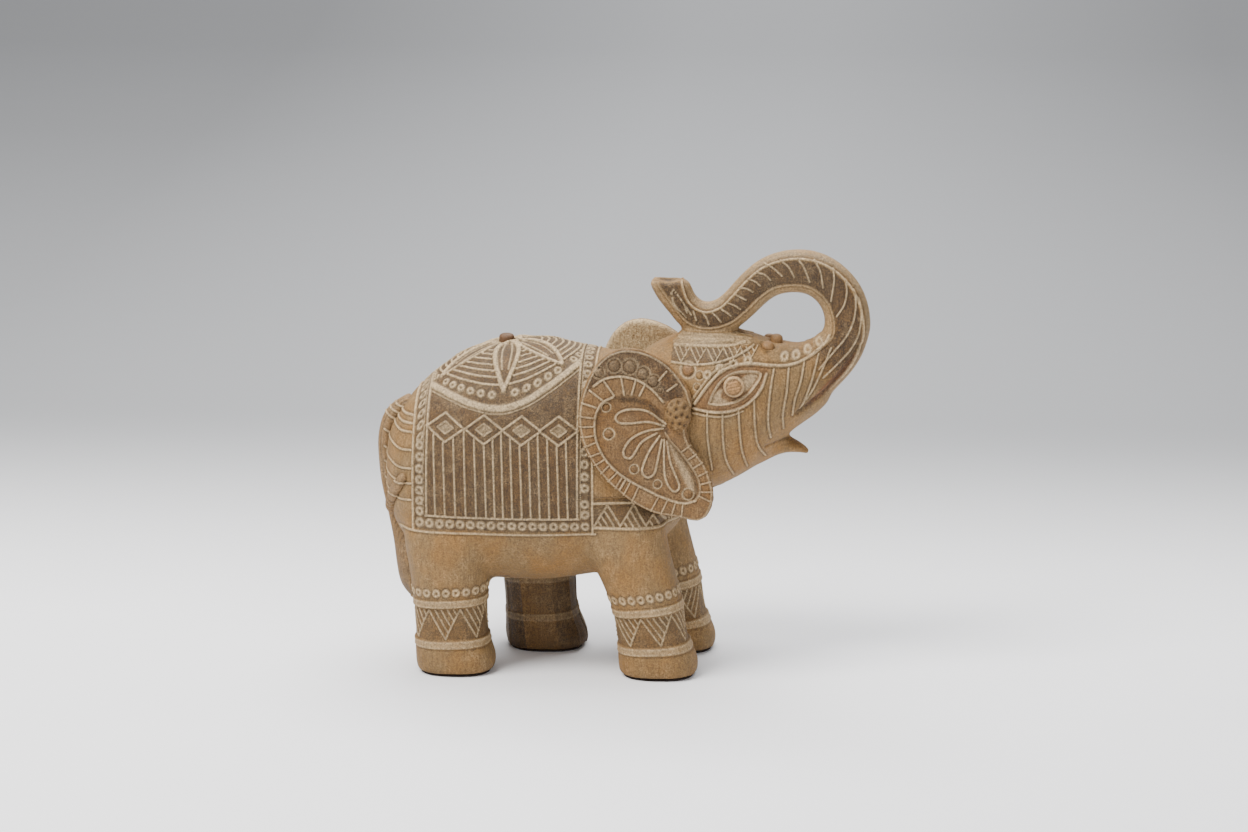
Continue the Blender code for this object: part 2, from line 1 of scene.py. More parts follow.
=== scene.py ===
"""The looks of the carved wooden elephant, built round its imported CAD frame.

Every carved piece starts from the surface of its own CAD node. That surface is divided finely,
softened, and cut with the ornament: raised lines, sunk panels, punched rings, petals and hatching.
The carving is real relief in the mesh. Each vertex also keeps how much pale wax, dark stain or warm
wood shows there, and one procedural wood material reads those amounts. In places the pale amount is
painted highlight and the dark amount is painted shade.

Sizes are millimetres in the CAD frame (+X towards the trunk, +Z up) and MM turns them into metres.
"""

import math

import bmesh
import bpy
import numpy as np
from mathutils import Matrix, Vector


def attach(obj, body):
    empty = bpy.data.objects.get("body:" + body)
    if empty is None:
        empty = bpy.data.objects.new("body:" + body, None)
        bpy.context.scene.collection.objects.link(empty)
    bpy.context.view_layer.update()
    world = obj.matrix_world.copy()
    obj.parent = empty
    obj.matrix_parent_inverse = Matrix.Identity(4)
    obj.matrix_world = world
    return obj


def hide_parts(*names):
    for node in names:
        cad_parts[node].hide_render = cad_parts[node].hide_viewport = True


MM = 0.001

# ---- how finely each piece is divided -----------------------------------------------------------
BODY_VOXEL = 0.8
BODY_PASSES = 14
EAR_VOXEL = 0.62
EAR_PASSES = 4
SMALL_VOXEL = 0.32
SMALL_PASSES = 3
TAIL_VOXEL = 0.6
TAIL_PASSES = 5
# Small pieces are grown by this much, as wax and dust close the glue lines round them.
TAIL_GROWTH = 0.5
EYE_GROWTH = 0.3
STUD_GROWTH = 0.5
LONGEST_SHARE = 0.95  # edges longer than this share of a voxel are halved where there is carving
STROKE_CONTRAST = 0.14  # an edge over which the ornament changes more than this is halved again

# ---- the joint between the two blocks, as it is sawn in the CAD ---------------------------------
NAPE = (4.0, 116.0)
THROAT = (26.0, 57.0)
GLUE_GAP = 0.3
SOLE_Z = 0.9
TRUNK_LIPS = (14.0, 138.5)
LIP_TIP = (66.0, 79.0)
TRUNK_GROWTH = 0.55
SOLE_KEPT = 2.2  # the sole's edge is smoothed less than the rest, up to this far above it

# ---- where the ornament lies, in the side view (x, z) -------------------------------------------
BLANKET_LEFT = -73.6
BLANKET_RIGHT = -8.9
BLANKET_FIELD = (-68.6, -14.2)
BLANKET_BOTTOM = 53.9
BORDER_Z = 56.7
BORDER_LEFT_X = -71.1
BORDER_RIGHT_X = -11.5
LEFT_DOTS_Z = (60.7, 64.5, 68.3, 72.1, 76.1, 80.3, 84.4, 88.4)
RIGHT_DOTS_Z = (61.2, 65.1, 71.0, 75.2, 79.6, 83.9, 88.2)
BOTTOM_DOTS = 17
RIBS_X = (
    -65.6, -62, -58.2, -54.4, -50.6, -47, -43.9, -40.9, -37.6, -34.2, -31, -27.8, -24.4, -21, -17.8,
)
RIB_FOOT_Z = 59.8
DIAMONDS_X = (-61.8, -47.6, -34.1, -20.9)
DIAMOND_Z = 91.3
DIAMOND_HALF = (6.9, 5.0)

MEDALLION_CENTRE = (-41.0, 0.0)
MEDALLION_HALF = (31.5, 28.5)
MEDALLION_RIM = 0.962
MEDALLION_DOTS = 0.885
MEDALLION_ARCS = (0.81, 0.745, 0.68, 0.61, 0.53, 0.45, 0.37)
MEDALLION_DOT_COUNT = 42
PETAL_TURNS = (-152, -90, -41, 41, 90, 152)  # degrees round the boss, from +X
PETAL_REACH = (0.13, 0.85)
PETAL_HALF_WIDTH = 4.0

# Legs. middle gives the x of the leg's middle by height. dots, upper and lower are the heights of its
# row of dots and of its two bands. slopes is how the bands tilt, at the foot and at the top. phase
# shifts its triangles round it. The far hind leg is plainer and isn't full.
RIGHT_LEGS_Y = -18.2
LEFT_LEGS_Y = 17.2
FRONT_BANDS = {"dots": 30.3, "upper": 25.2, "lower": 10.9, "slopes": (0.05, 0.12), "full": True}
LEGS = {
    "right_hind": {
        "y": RIGHT_LEGS_Y,
        "middle": ((0, -59.5), (10, -60.4), (16, -61.0), (38, -61.6)),
        "dots": 31.3,
        "upper": 27.0,
        "lower": 11.9,
        "slopes": (0.03, 0.05),
        "phase": 5.1,
        "full": True,
    },
    "left_hind": {
        "y": LEFT_LEGS_Y,
        "middle": ((0, -29.8), (10, -31.0), (16, -31.8), (38, -34.0)),
        "upper": 27.6,
        "lower": 13.2,
        "slopes": (0.02, 0.03),
        "full": False,
    },
    "right_front": {
        "y": RIGHT_LEGS_Y,
        "middle": ((0, 14.0), (10, 12.8), (16, 11.4), (26, 9.8), (38, 5.8)),
        "phase": -2.1,
        **FRONT_BANDS,
    },
    "left_front": {
        "y": LEFT_LEGS_Y,
        "middle": ((0, 18.4), (10, 17.2), (16, 15.8), (26, 14.2), (38, 10.2)),
        "phase": 2.0,
        **FRONT_BANDS,
    },
}
LEG_RADIUS = 13.6  # the leg taken as round, to measure along its girth
LEG_TOP_Z = 40.0
LEG_PERIOD = 12.2
LEG_BAND_HALF = 1.45
LEG_DOTS = 23
PLAIN_LEG_STRENGTH = 0.45

RUMP_LINES_Z = (93.6, 91.0, 88.2, 82.2, 75.8, 70.4, 64.4)

# Trunk centre line: x, z, half thickness.
TRUNK = [
    (58.6, 103.2, 13.8), (67.6, 108.6, 10.9), (75.6, 114.8, 8.9), (79.6, 120.9, 7.9),
    (80.2, 127.6, 7.7), (78.1, 135.0, 7.6), (73.3, 140.9, 7.4), (67.3, 144.2, 7.3), (60.3, 144.8, 7.2),
    (52.7, 142.9, 6.7), (46.8, 138.4, 6.3), (42.0, 133.2, 6.1), (37.0, 128.8, 5.8), (30.6, 126.8, 5.4),
    (24.6, 128.2, 5.4), (20.2, 133.0, 5.2), (16.2, 140.9, 6.6),
]
TRUNK_OUTER_BORDER = 2.0
TRUNK_INNER_BORDER = 3.0
# Carved strokes across the trunk's side, from its outer border to its inner one.
TRUNK_STROKES = [
    [(18.0, 138.4), (20.6, 135.0), (24.6, 129.0)],
    [(17.4, 137.0), (18.4, 132.8), (22.6, 128.0)],
    [(21.8, 133.4), (23.0, 129.8)],
    [(25.2, 130.6), (26.3, 127.2)],
    [(28.6, 130.0), (29.8, 128.4), (30.8, 125.8)],
    [(31.8, 130.3), (33.6, 128.6), (35.2, 126.8)],
    [(34.8, 131.6), (37.0, 130.4), (38.6, 129.1)],
    [(37.4, 133.8), (40.0, 132.9), (42.0, 131.6)],
    [(40.4, 136.8), (44.0, 135.0)],
    [(41.6, 139.3), (44.0, 139.2), (46.4, 138.0)],
    [(44.6, 142.6), (47.0, 141.9), (49.0, 140.3)],
    [(47.8, 145.0), (50.6, 144.4), (52.8, 142.4)],
    [(50.6, 148.2), (53.6, 146.8), (56.8, 144.0)],
    [(56.0, 149.6), (59.0, 147.4), (61.2, 143.6)],
    [(62.2, 150.4), (64.6, 147.2), (66.6, 142.0)],
    [(68.2, 150.0), (70.4, 146.0), (71.4, 140.0)],
    [(74.9, 147.0), (75.4, 142.6), (74.2, 135.0)],
    [(79.4, 143.2), (80.0, 139.0), (79.0, 134.0), (76.2, 129.6)],
    [(82.2, 139.4), (83.3, 135.0), (82.5, 128.4), (79.8, 122.4), (75.4, 117.0), (70.4, 111.0)],
    [(84.2, 136.4), (85.2, 130.6), (84.6, 124.0), (81.8, 118.2), (76.6, 112.4), (72.0, 108.0)],
]

# ---- colours, as they look in soft daylight (0 to 255) ------------------------------------------
TAN = (120, 94, 59)
HONEY = (128, 94, 51)
BROWN = (54, 40, 26)
CREAM = (186, 163, 126)
RUST = (112, 64, 34)
EYE_BROWN = (154, 114, 70)
STUD_BROWN = (138, 104, 66)
LOTUS_BROWN = (96, 68, 44)
DOWEL = (205, 176, 132)
FELT = (48, 36, 32)
FLOOR = (229, 229, 231)
# The last two colours are painted shade on the backdrop: the paper is greyed behind and to the sides
# instead of being lit less there.
WALL_SHADE = (138, 139, 141)
SHADE = (24, 24, 23)

# ---- view ---------------------------------------------------------------------------------------
VIEW_TARGET = (0.0, 0.0, 90.5)
VIEW_AZIMUTH = 4.5
VIEW_ELEVATION = 13.0
VIEW_DISTANCE = 1500.0
VIEW_LENS = 120.0


# ---- meshes as arrays ---------------------------------------------------------------------------
def linked(name, data):
    """A new object in the scene."""
    obj = bpy.data.objects.new(name, data)
    bpy.context.scene.collection.objects.link(obj)
    return obj


def arrays_of(mesh):
    """Vertices in millimetres and triangles of a mesh."""
    mesh.calc_loop_triangles()
    verts = np.empty(len(mesh.vertices) * 3)
    mesh.vertices.foreach_get("co", verts)
    tris = np.empty(len(mesh.loop_triangles) * 3, np.int64)
    mesh.loop_triangles.foreach_get("vertices", tris)
    return verts.reshape(-1, 3) / MM, tris.reshape(-1, 3)


def mesh_from(name, verts, tris):
    """A smooth-shaded mesh from vertices in millimetres and triangles."""
    mesh = bpy.data.meshes.new(name)
    mesh.vertices.add(len(verts))
    mesh.vertices.foreach_set("co", (verts * MM).ravel())
    mesh.loops.add(len(tris) * 3)
    mesh.loops.foreach_set("vertex_index", tris.ravel().astype(np.int32))
    mesh.polygons.add(len(tris))
    mesh.polygons.foreach_set("loop_start", np.arange(0, len(tris) * 3, 3, dtype=np.int32))
    mesh.update(calc_edges=True)
    mesh.shade_smooth()
    return mesh


def edges_of(verts, tris):
    """The two ends of every edge, and the number of the edge on each side of each triangle."""
    ends = np.concatenate([tris[:, [0, 1]], tris[:, [1, 2]], tris[:, [2, 0]]])
    ends = np.sort(ends, axis=1)
    keys, back = np.unique(ends[:, 0] * len(verts) + ends[:, 1], return_inverse=True)
    return keys // len(verts), keys % len(verts), back.reshape(3, -1).T


def relaxed(verts, tris, passes, share):
    """Each vertex moved towards the mean of its neighbours, by its own share."""
    a, b, _ = edges_of(verts, tris)
    near = np.bincount(a, minlength=len(verts)) + np.bincount(b, minlength=len(verts))
    for _ in range(passes):
        total = np.stack(
            [
                np.bincount(a, verts[b, k], len(verts)) + np.bincount(b, verts[a, k], len(verts))
                for k in range(3)
            ],
            axis=1,
        )
        verts = verts + share[:, None] * (total / near[:, None] - verts)
    return verts


def firmness(verts):
    """The share of smoothing: less at the sole's edge, the trunk's lips and the tip of the jaw."""
    x, _, z = verts.T
    sole = fade(z, SOLE_Z - 0.2, SOLE_Z + SOLE_KEPT)
    lips = fade(np.hypot(x - TRUNK_LIPS[0], z - TRUNK_LIPS[1]), 5.0, 10.0)
    jaw = fade(np.hypot(x - LIP_TIP[0], z - LIP_TIP[1]), 6.0, 13.0)
    return np.minimum(np.minimum(0.2 + 0.8 * sole, 0.25 + 0.75 * lips), 0.2 + 0.8 * jaw)


def trunk_growth(verts):
    """How far each vertex is grown: the trunk only, as smoothing thins it most."""
    return TRUNK_GROWTH * fade(verts[:, 2], 118, 126)[:, None]


def softened(nodes, voxel, passes, grow=0.0, firm=None):
    """One fine, even mesh over the CAD nodes, with their facets smoothed away.

    grow is how far it is grown, or gives that for each vertex. firm gives each vertex's share of
    the smoothing.
    """
    bm = bmesh.new()
    for node in nodes:
        bm.from_mesh(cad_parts[node].data)
    mesh = bpy.data.meshes.new("blank")
    bm.to_mesh(mesh)
    bm.free()
    blank = linked("blank", mesh)
    remesh = blank.modifiers.new("divide", "REMESH")
    remesh.mode = "VOXEL"
    remesh.voxel_size = voxel * MM
    graph = bpy.context.evaluated_depsgraph_get()
    fine = bpy.data.meshes.new_from_object(blank.evaluated_get(graph), depsgraph=graph)
    bpy.data.objects.remove(blank)
    verts, tris = arrays_of(fine)
    share = firm(verts) if firm else np.ones(len(verts))
    verts = relaxed(verts, tris, passes, 0.5 * share)
    amount = grow(verts) if callable(grow) else grow
    verts = verts + amount * vertex_normals(verts, tris)
    return mesh_from("soft", verts, tris)


def sawn(mesh, point, normal):
    """Vertices and triangles of the part of mesh that normal points to, closed at the cut."""
    bm = bmesh.new()
    bm.from_mesh(mesh)
    everything = bm.verts[:] + bm.edges[:] + bm.faces[:]
    where = Vector(point) * MM
    bmesh.ops.bisect_plane(
        bm, geom=everything, dist=1e-7, plane_co=where, plane_no=normal, clear_inner=True
    )
    rim = [e for e in bm.edges if e.is_boundary]
    bmesh.ops.holes_fill(bm, edges=rim, sides=0)
    bmesh.ops.triangulate(bm, faces=bm.faces)
    part = bpy.data.meshes.new("part")
    bm.to_mesh(part)
    bm.free()
    return part


# How a triangle with some of its edges halved is divided. The key adds 1, 2 and 4 for its edges
# 0-1, 1-2 and 2-0. Corners are 0 to 2, and 3 to 5 are the middles of those edges.
SPLITS = {
    0: [(0, 1, 2)],
    1: [(0, 3, 2), (3, 1, 2)],
    2: [(0, 1, 4), (0, 4, 2)],
    3: [(3, 1, 4), (0, 3, 4), (0, 4, 2)],
    4: [(0, 1, 5), (5, 1, 2)],
    5: [(0, 3, 5), (3, 1, 2), (3, 2, 5)],
    6: [(5, 4, 2), (0, 1, 4), (0, 4, 5)],
    7: [(0, 3, 5), (3, 1, 4), (5, 4, 2), (3, 4, 5)],
}


def refined(verts, tris, choose):
    """The mesh with some edges halved. choose(a, b) picks them from the numbers of their ends."""
    a, b, sides = edges_of(verts, tris)
    halve = choose(a, b)
    number = np.full(len(a), -1)
    number[halve] = len(verts) + np.arange(halve.sum())
    new = number[sides]
    corners = np.hstack([tris, new])
    code = (new >= 0) @ np.array([1, 2, 4])
    found = []
    for key, pattern in SPLITS.items():
        rows = corners[code == key]
        found += [rows[:, list(picked)] for picked in pattern]
    middles = (verts[a[halve]] + verts[b[halve]]) / 2
    return np.vstack([verts, middles]), np.vstack(found)


def vertex_normals(verts, tris):
    """The outward direction at each vertex, larger triangles counting for more."""
    face = np.cross(verts[tris[:, 1]] - verts[tris[:, 0]], verts[tris[:, 2]] - verts[tris[:, 0]])
    normals = np.zeros_like(verts)
    for k in range(3):
        for axis in range(3):
            normals[:, axis] += np.bincount(tris[:, k], face[:, axis], len(verts))
    return normals / np.maximum(np.linalg.norm(normals, axis=1), 1e-12)[:, None]


def smooth_line(points, steps=5):
    """Points on a smooth curve through the given ones."""
    points = np.asarray(points, float)
    if len(points) < 3:
        return points
    padded = np.vstack([2 * points[0] - points[1], points, 2 * points[-1] - points[-2]])
    found = []
    for i in range(1, len(padded) - 2):
        before, here, there, after = padded[i - 1 : i + 3]
        for t in np.linspace(0.0, 1.0, steps, endpoint=False):
            found.append(
                here
                + 0.5 * t * (there - before)
                + t**2 * (before - 2.5 * here + 2 * there - 0.5 * after)
                + 0.5 * t**3 * (after - 3 * there + 3 * here - before)
            )
    return np.vstack([found, points[-1]])


def fade(value, start, end):
    """0 before start, 1 after end, smooth between them."""
    t = np.clip((value - start) / (end - start), 0.0, 1.0)
    return t * t * (3 - 2 * t)


def span(value, rise, fall):
    """1 from the end of rise to the start of fall and 0 outside them, smooth between."""
    return fade(value, *rise) * (1 - fade(value, *fall))


def bell(value, width):
    """1 where value is 0, and almost nothing two widths away."""
    return np.exp(-((value / width) ** 2))


# ---- carving ------------------------------------------------------------------------------------
class Surface:
    """A mesh being carved: its vertices, and the height and colouring at each of them."""

    def __init__(self, verts, tris):
        self.verts = verts
        self.tris = tris
        self.normals = vertex_normals(verts, tris)
        self.height = np.zeros(len(verts))
        self.tint = {name: np.zeros(len(verts)) for name in ("pale", "dark", "warm")}

    def chart(self, where, u, v, share=None):
        return Chart(self, np.flatnonzero(where), u, v, share)

    def piece(self, name, look):
        """The carved mesh as an object that rides on the CAD body."""
        carved = self.verts + self.normals * self.height[:, None]
        mesh = mesh_from(name, carved, self.tris)
        for tint, amount in self.tint.items():
            layer = mesh.attributes.new(tint, "FLOAT", "POINT")
            layer.data.foreach_set("value", amount.astype(np.float32))
        return placed(name, mesh, look)


class Chart:
    """A flat drawing sheet laid over part of a surface: u and v in millimetres at its vertices."""

    def __init__(self, surface, index, u, v, share=None):
        self.surface = surface
        self.index = index
        self.spots = np.stack([u[index], v[index]], axis=1)
        self.share = np.ones(len(index)) if share is None else share[index]

    def near(self, points, margin):
        """The spots inside the box round points, with a margin."""
        low, high = points.min(axis=0) - margin, points.max(axis=0) + margin
        inside = (self.spots > low).all(axis=1) & (self.spots < high).all(axis=1)
        return np.flatnonzero(inside)

    def around(self, centre, reach):
        """The spots near centre, and how far each of them is from it."""
        at = self.near(np.asarray([centre], float), reach)
        return at, np.hypot(*(self.spots[at] - centre).T)

    def gap(self, at, points):
        """How far the chosen spots are from the line through points."""
        spots = self.spots[at]
        best = np.full(len(at), np.inf)
        for a, b in zip(points, points[1:]):
            run = b - a
            t = np.clip((spots - a) @ run / max(run @ run, 1e-9), 0, 1)
            away = spots - a - t[:, None] * run
            best = np.minimum(best, np.hypot(away[:, 0], away[:, 1]))
        return best

    def put(self, at, rise=0.0, **tints):
        """Raise or sink the chosen spots, and colour them where they aren't coloured more already."""
        rows, share = self.index[at], self.share[at]
        self.surface.height[rows] += share * rise
        for tint, amount in tints.items():
            layer = self.surface.tint[tint]
            layer[rows] = np.maximum(layer[rows], share * amount)

    def wash(self, rise=0.0, **tints):
        """The same for the whole sheet, or by an amount given at every spot."""
        self.put(np.arange(len(self.index)), rise, **tints)

    def line(self, points, width=0.62, rise=0.22, pale=0.8, dark=0.6, smooth=True):
        """A raised, waxed line with dark along both its sides: stain, and painted shadow beside the
        raise.
        """
        points = smooth_line(points) if smooth else np.asarray(points, float)
        at = self.near(points, 2.5 * width)
        away = self.gap(at, points)
        core = 1 - fade(away, 0.3 * width, 0.75 * width)
        edge = bell(away - width, 0.45 * width)
        self.put(at, core * rise - edge * 0.5 * abs(rise), pale=core * pale, dark=edge * dark)

    def groove(self, points, width=0.9, depth=0.4, dark=0.8, smooth=True):
        """A sunk line, painted dark all over: stain, and painted shade in the groove."""
        points = smooth_line(points) if smooth else np.asarray(points, float)
        at = self.near(points, 2 * width)
        core = 1 - fade(self.gap(at, points), 0.0, width)
        self.put(at, -core * depth, dark=core * dark)

    def pit(self, centre, width, depth, dark):
        """A round hole: a groove with almost no length."""
        centre = np.asarray(centre, float)
        self.groove([centre, centre + 0.05], width, depth, dark, smooth=False)

    def level(self, value, width, rise, pale, dark, keep=None):
        """A line where value, given at every spot of the chart, is zero, with dark along its sides:
        stain, and painted shadow.
        """
        away = np.abs(value)
        core = 1 - fade(away, 0.3 * width, 0.75 * width)
        edge = bell(away - 0.95 * width, 0.4 * width)
        if keep is not None:
            core, edge = core * keep, edge * keep
        self.wash(core * rise - edge * 0.5 * rise, pale=core * pale, dark=edge * dark)

    def boss(self, centre, radius, rise=0.5, pale=0.0, dark=0.7, warm=0.0, ring=0.7):
        """A round knob in a sunk ring painted dark: stain, and painted shade round the knob. ring is how
        waxed its outer rim is.
        """
        at, away = self.around(centre, 2 * radius)
        dome = np.sqrt(np.clip(1 - (away / radius) ** 2, 0, 1))
        moat = bell(away - 1.1 * radius, 0.22 * radius)
        rim = bell(away - 1.42 * radius, 0.2 * radius)
        cap = (away < radius) * 1.0
        height = rise * dome - 0.5 * rise * moat
        self.put(at, height, dark=dark * moat, pale=np.maximum(rim * ring, pale * cap), warm=warm * cap)

    def ring_dot(self, centre, radius=1.45, pale=0.9, dark=0.75, hole=0.34):
        """A punched ring: a waxed circle round a small pit, the pit and a moat round the ring painted
        dark, stain and painted shade in the hollows.
        """
        at, away = self.around(centre, 2 * radius)
        ring = bell(away - 0.68 * radius, 0.36 * radius)
        pit = bell(away, hole * radius)
        moat = bell(away - 1.28 * radius, 0.22 * radius)
        stain = dark * np.maximum(pit, moat)
        self.put(at, 0.28 * ring - 0.3 * pit - 0.15 * moat, pale=pale * ring, dark=stain)

    def inside(self, points):
        """Signed distance to a closed outline at every spot near it, positive inside."""
        loop = np.vstack([points, points[:1]])
        at = self.near(points, 3.0)
        spots = self.spots[at]
        odd = np.zeros(len(at), bool)
        for (ax, az), (bx, bz) in zip(loop, loop[1:]):
            spans = (az > spots[:, 1]) != (bz > spots[:, 1])
            slope = (bx - ax) / (bz - az) if bz != az else 0.0
            odd ^= spans & (spots[:, 0] < ax + (spots[:, 1] - az) * slope)
        return at, np.where(odd, 1, -1) * self.gap(at, loop)

    def panel(self, points, depth=0.35, soft=0.35, smooth=False, **tints):
        """A sunk area with a soft edge."""
        outline = np.asarray(points, float)
        if smooth:
            outline = smooth_line(np.vstack([outline, outline[:1]]))[:-1]
        at, inward = self.inside(outline)
        core = fade(inward, -soft, soft)
        self.put(at, -core * depth, **{name: core * amount for name, amount in tints.items()})

    def cells(self, start, period, count, low, high, strokes, width=0.66, up=False):
        """Triangles between two levels, hatched along one side, pointing down or up."""
        if up:
            low, high = high, low
        tall = high - low
        for k in range(count):
            u = start + k * period
            left, right, foot = (u - period / 2, high), (u + period / 2, high), (u, low)
            self.line([left, foot, right], width, smooth=False)
            for stroke in range(1, strokes + 1):
                shift = stroke / (strokes + 1)
                if up:
                    top = (u + period / 2 - shift * period, high)
                    end = (top[0] - (1 - shift) * period / 2, high - (1 - shift) * tall)
                else:
                    top = (u - period / 2 + shift * period, high)
                    end = (top[0] + (1 - shift) * period / 2, high - (1 - shift) * tall)
                self.line([top, end], width * 0.9, smooth=False)


def placed(name, mesh, look):
    """A mesh as an object that rides on the CAD body."""
    mesh.materials.append(look)
    obj = linked(name, mesh)
    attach(obj, "root")
    return obj


# ---- materials ----------------------------------------------------------------------------------
def linear(colour):
    """A colour of 0 to 255 as linear light."""
    share = [c / 255 for c in colour]
    return [c / 12.92 if c <= 0.04045 else ((c + 0.055) / 1.055) ** 2.4 for c in share]


class Look:
    """A node material under construction."""

    def __init__(self, name):
        self.material = bpy.data.materials.new(name)
        self.material.use_nodes = True
        self.tree = self.material.node_tree
        self.shader = self.tree.nodes["Principled BSDF"]
        self.place = self.node("ShaderNodeTexCoord").outputs["Object"]

    def join(self, source, target):
        """An input fed by another node's output, or set to a value."""
        if isinstance(source, bpy.types.NodeSocket):
            self.tree.links.new(source, target)
        else:
            target.default_value = source

    def node(self, kind, inputs=None, **settings):
        """A new node with its settings, and its inputs joined."""
        made = self.tree.nodes.new(kind)
        for key, value in settings.items():
            setattr(made, key, value)
        for socket, source in (inputs or {}).items():
            self.join(source, made.inputs[socket])
        return made

    def attribute(self, name):
        return self.node("ShaderNodeAttribute", attribute_name=name).outputs["Fac"]

    def noise(self, size, detail=3.0, stretch=(1, 1, 1), rough=0.6):
        """Noise with features of about size millimetres, stretched along each axis."""
        scale = [1 / (size * MM * s) for s in stretch]
        spot = self.node("ShaderNodeMapping", {"Vector": self.place, "Scale": scale}).outputs["Vector"]
        inputs = {"Vector": spot, "Scale": 1.0, "Detail": detail, "Roughness": rough}
        return self.node("ShaderNodeTexNoise", inputs).outputs["Fac"]

    def ramp(self, value, low, high, out_low=0.0, out_high=1.0):
        ends = {"From Min": low, "From Max": high, "To Min": out_low, "To Max": out_high}
        return self.node("ShaderNodeMapRange", {"Value": value, **ends}).outputs["Result"]

    def math(self, operation, a, b=0.0):
        return self.node("ShaderNodeMath", {0: a, 1: b}, operation=operation).outputs["Value"]

    def times(self, a, b):
        return self.math("MULTIPLY", a, b)

    def mix(self, share, a, b, blend="MIX"):
        a, b = (c if isinstance(c, bpy.types.NodeSocket) else (*c, 1.0) for c in (a, b))
        inputs = {"Factor": share, "A": a, "B": b}
        made = self.node("ShaderNodeMix", inputs, data_type="RGBA", blend_type=blend)
        return made.outputs["Result"]

    def grey(self, value):
        inputs = {"Red": value, "Green": value, "Blue": value}
        return self.node("ShaderNodeCombineColor", inputs).outputs["Color"]

    def axis(self, name):
        """A coordinate of the point being shaded, in metres."""
        return self.node("ShaderNodeSeparateXYZ", {"Vector": self.place}).outputs[name]

    def finish(self, colour, roughness, height, bump):
        """The material, with a bump of so many millimetres that follows height."""
        inputs = {"Strength": 1.0, "Distance": bump * MM, "Height": height}
        bumped = self.node("ShaderNodeBump", inputs).outputs["Normal"]
        self.join(colour, self.shader.inputs["Base Color"])
        self.join(roughness, self.shader.inputs["Roughness"])
        self.join(0.3, self.shader.inputs["Specular IOR Level"])
        self.join(bumped, self.shader.inputs["Normal"])
        return self.material


def carved_wood(name, grain=(1, 1, 9), plain=TAN, spot=HONEY):
    """Sanded tan wood with sandy speckle and grain, stained and waxed where the carving says, with
    painted shade and painted highlight carried in the same stain and wax.
    """
    look = Look(name)
    blotch = look.ramp(look.noise(14.0, 2.0, (1, 1, 1.6)), 0.4, 0.66)
    colour = look.mix(blotch, linear(plain), linear(spot))
    colour = look.mix(look.times(look.attribute("warm"), 0.85), colour, linear(RUST))
    pores = look.ramp(look.noise(0.7, 3.0, grain), 0.36, 0.64)
    speckle = look.ramp(look.noise(0.8, 3.0), 0.36, 0.64)
    grit = look.ramp(look.noise(0.4, 2.0), 0.32, 0.68)
    patch = look.ramp(look.noise(2.8, 4.0), 0.3, 0.6, 0.8, 1.0)
    # The dark amount is stain, and painted shade beside raised lines, in hollows and on the far leg.
    stain = look.times(look.attribute("dark"), patch)
    stain = look.times(stain, look.ramp(grit, 0.0, 1.0, 1.0, 0.72))
    colour = look.mix(stain, colour, linear(BROWN))
    worn = look.ramp(look.noise(1.0, 3.0), 0.28, 0.55, 0.35, 1.0)
    # The pale amount is wax, and painted highlight on the ear backs and along the trunk's rims.
    wax = look.times(look.attribute("pale"), worn)
    colour = look.mix(look.times(wax, 0.85), colour, linear(CREAM))
    dust = look.ramp(look.noise(5.0, 4.0), 0.45, 0.75, 0.0, 0.2)
    colour = look.mix(look.times(dust, speckle), colour, linear(CREAM))
    # Brown noise patches, strongest at the bottom and gone by 34 mm up.
    low_darkening = look.ramp(look.noise(1.7, 5.0), 0.48, 0.68, 0.0, 0.22)
    low_darkening = look.times(low_darkening, look.ramp(look.axis("Z"), 3 * MM, 34 * MM, 1.0, 0.0))
    colour = look.mix(low_darkening, colour, linear(BROWN))
    sandy = look.ramp(speckle, 0, 1, 0.78, 1.14)
    sandy = look.times(sandy, look.ramp(grit, 0, 1, 0.76, 1.2))
    tone = look.times(sandy, look.ramp(pores, 0, 1, 0.84, 1.1))
    colour = look.mix(1.0, colour, look.grey(tone), "MULTIPLY")
    rough = look.ramp(speckle, 0.0, 1.0, 0.6, 0.84)
    height = look.math("ADD", speckle, pores)
    return look.finish(colour, rough, height, 0.09)


def plain_wood(name, colour, grain, size=0.7, contrast=0.35):
    """Streaked wood with no wax or stain, for the studs, the boss and the dowels."""
    look = Look(name)
    streak = look.ramp(look.noise(size, 3.0, grain), 0.3, 0.7)
    speckle = look.ramp(look.noise(0.4, 2.0), 0.3, 0.7)
    dark = [c * (1 - contrast) for c in linear(colour)]
    base = look.mix(streak, dark, linear(colour))
    base = look.mix(1.0, base, look.grey(look.ramp(speckle, 0, 1, 0.8, 1.15)), "MULTIPLY")
    return look.finish(base, look.ramp(streak, 0, 1, 0.5, 0.75), streak, 0.06)


def felt():
    """Dark, fuzzy felt for the pads."""
    look = Look("felt")
    fuzz = look.ramp(look.noise(0.35, 4.0), 0.3, 0.7)
    colour = look.mix(fuzz, [c * 0.5 for c in linear(FELT)], linear(FELT))
    return look.finish(colour, look.ramp(fuzz, 0, 1, 0.9, 1.0), fuzz, 0.12)


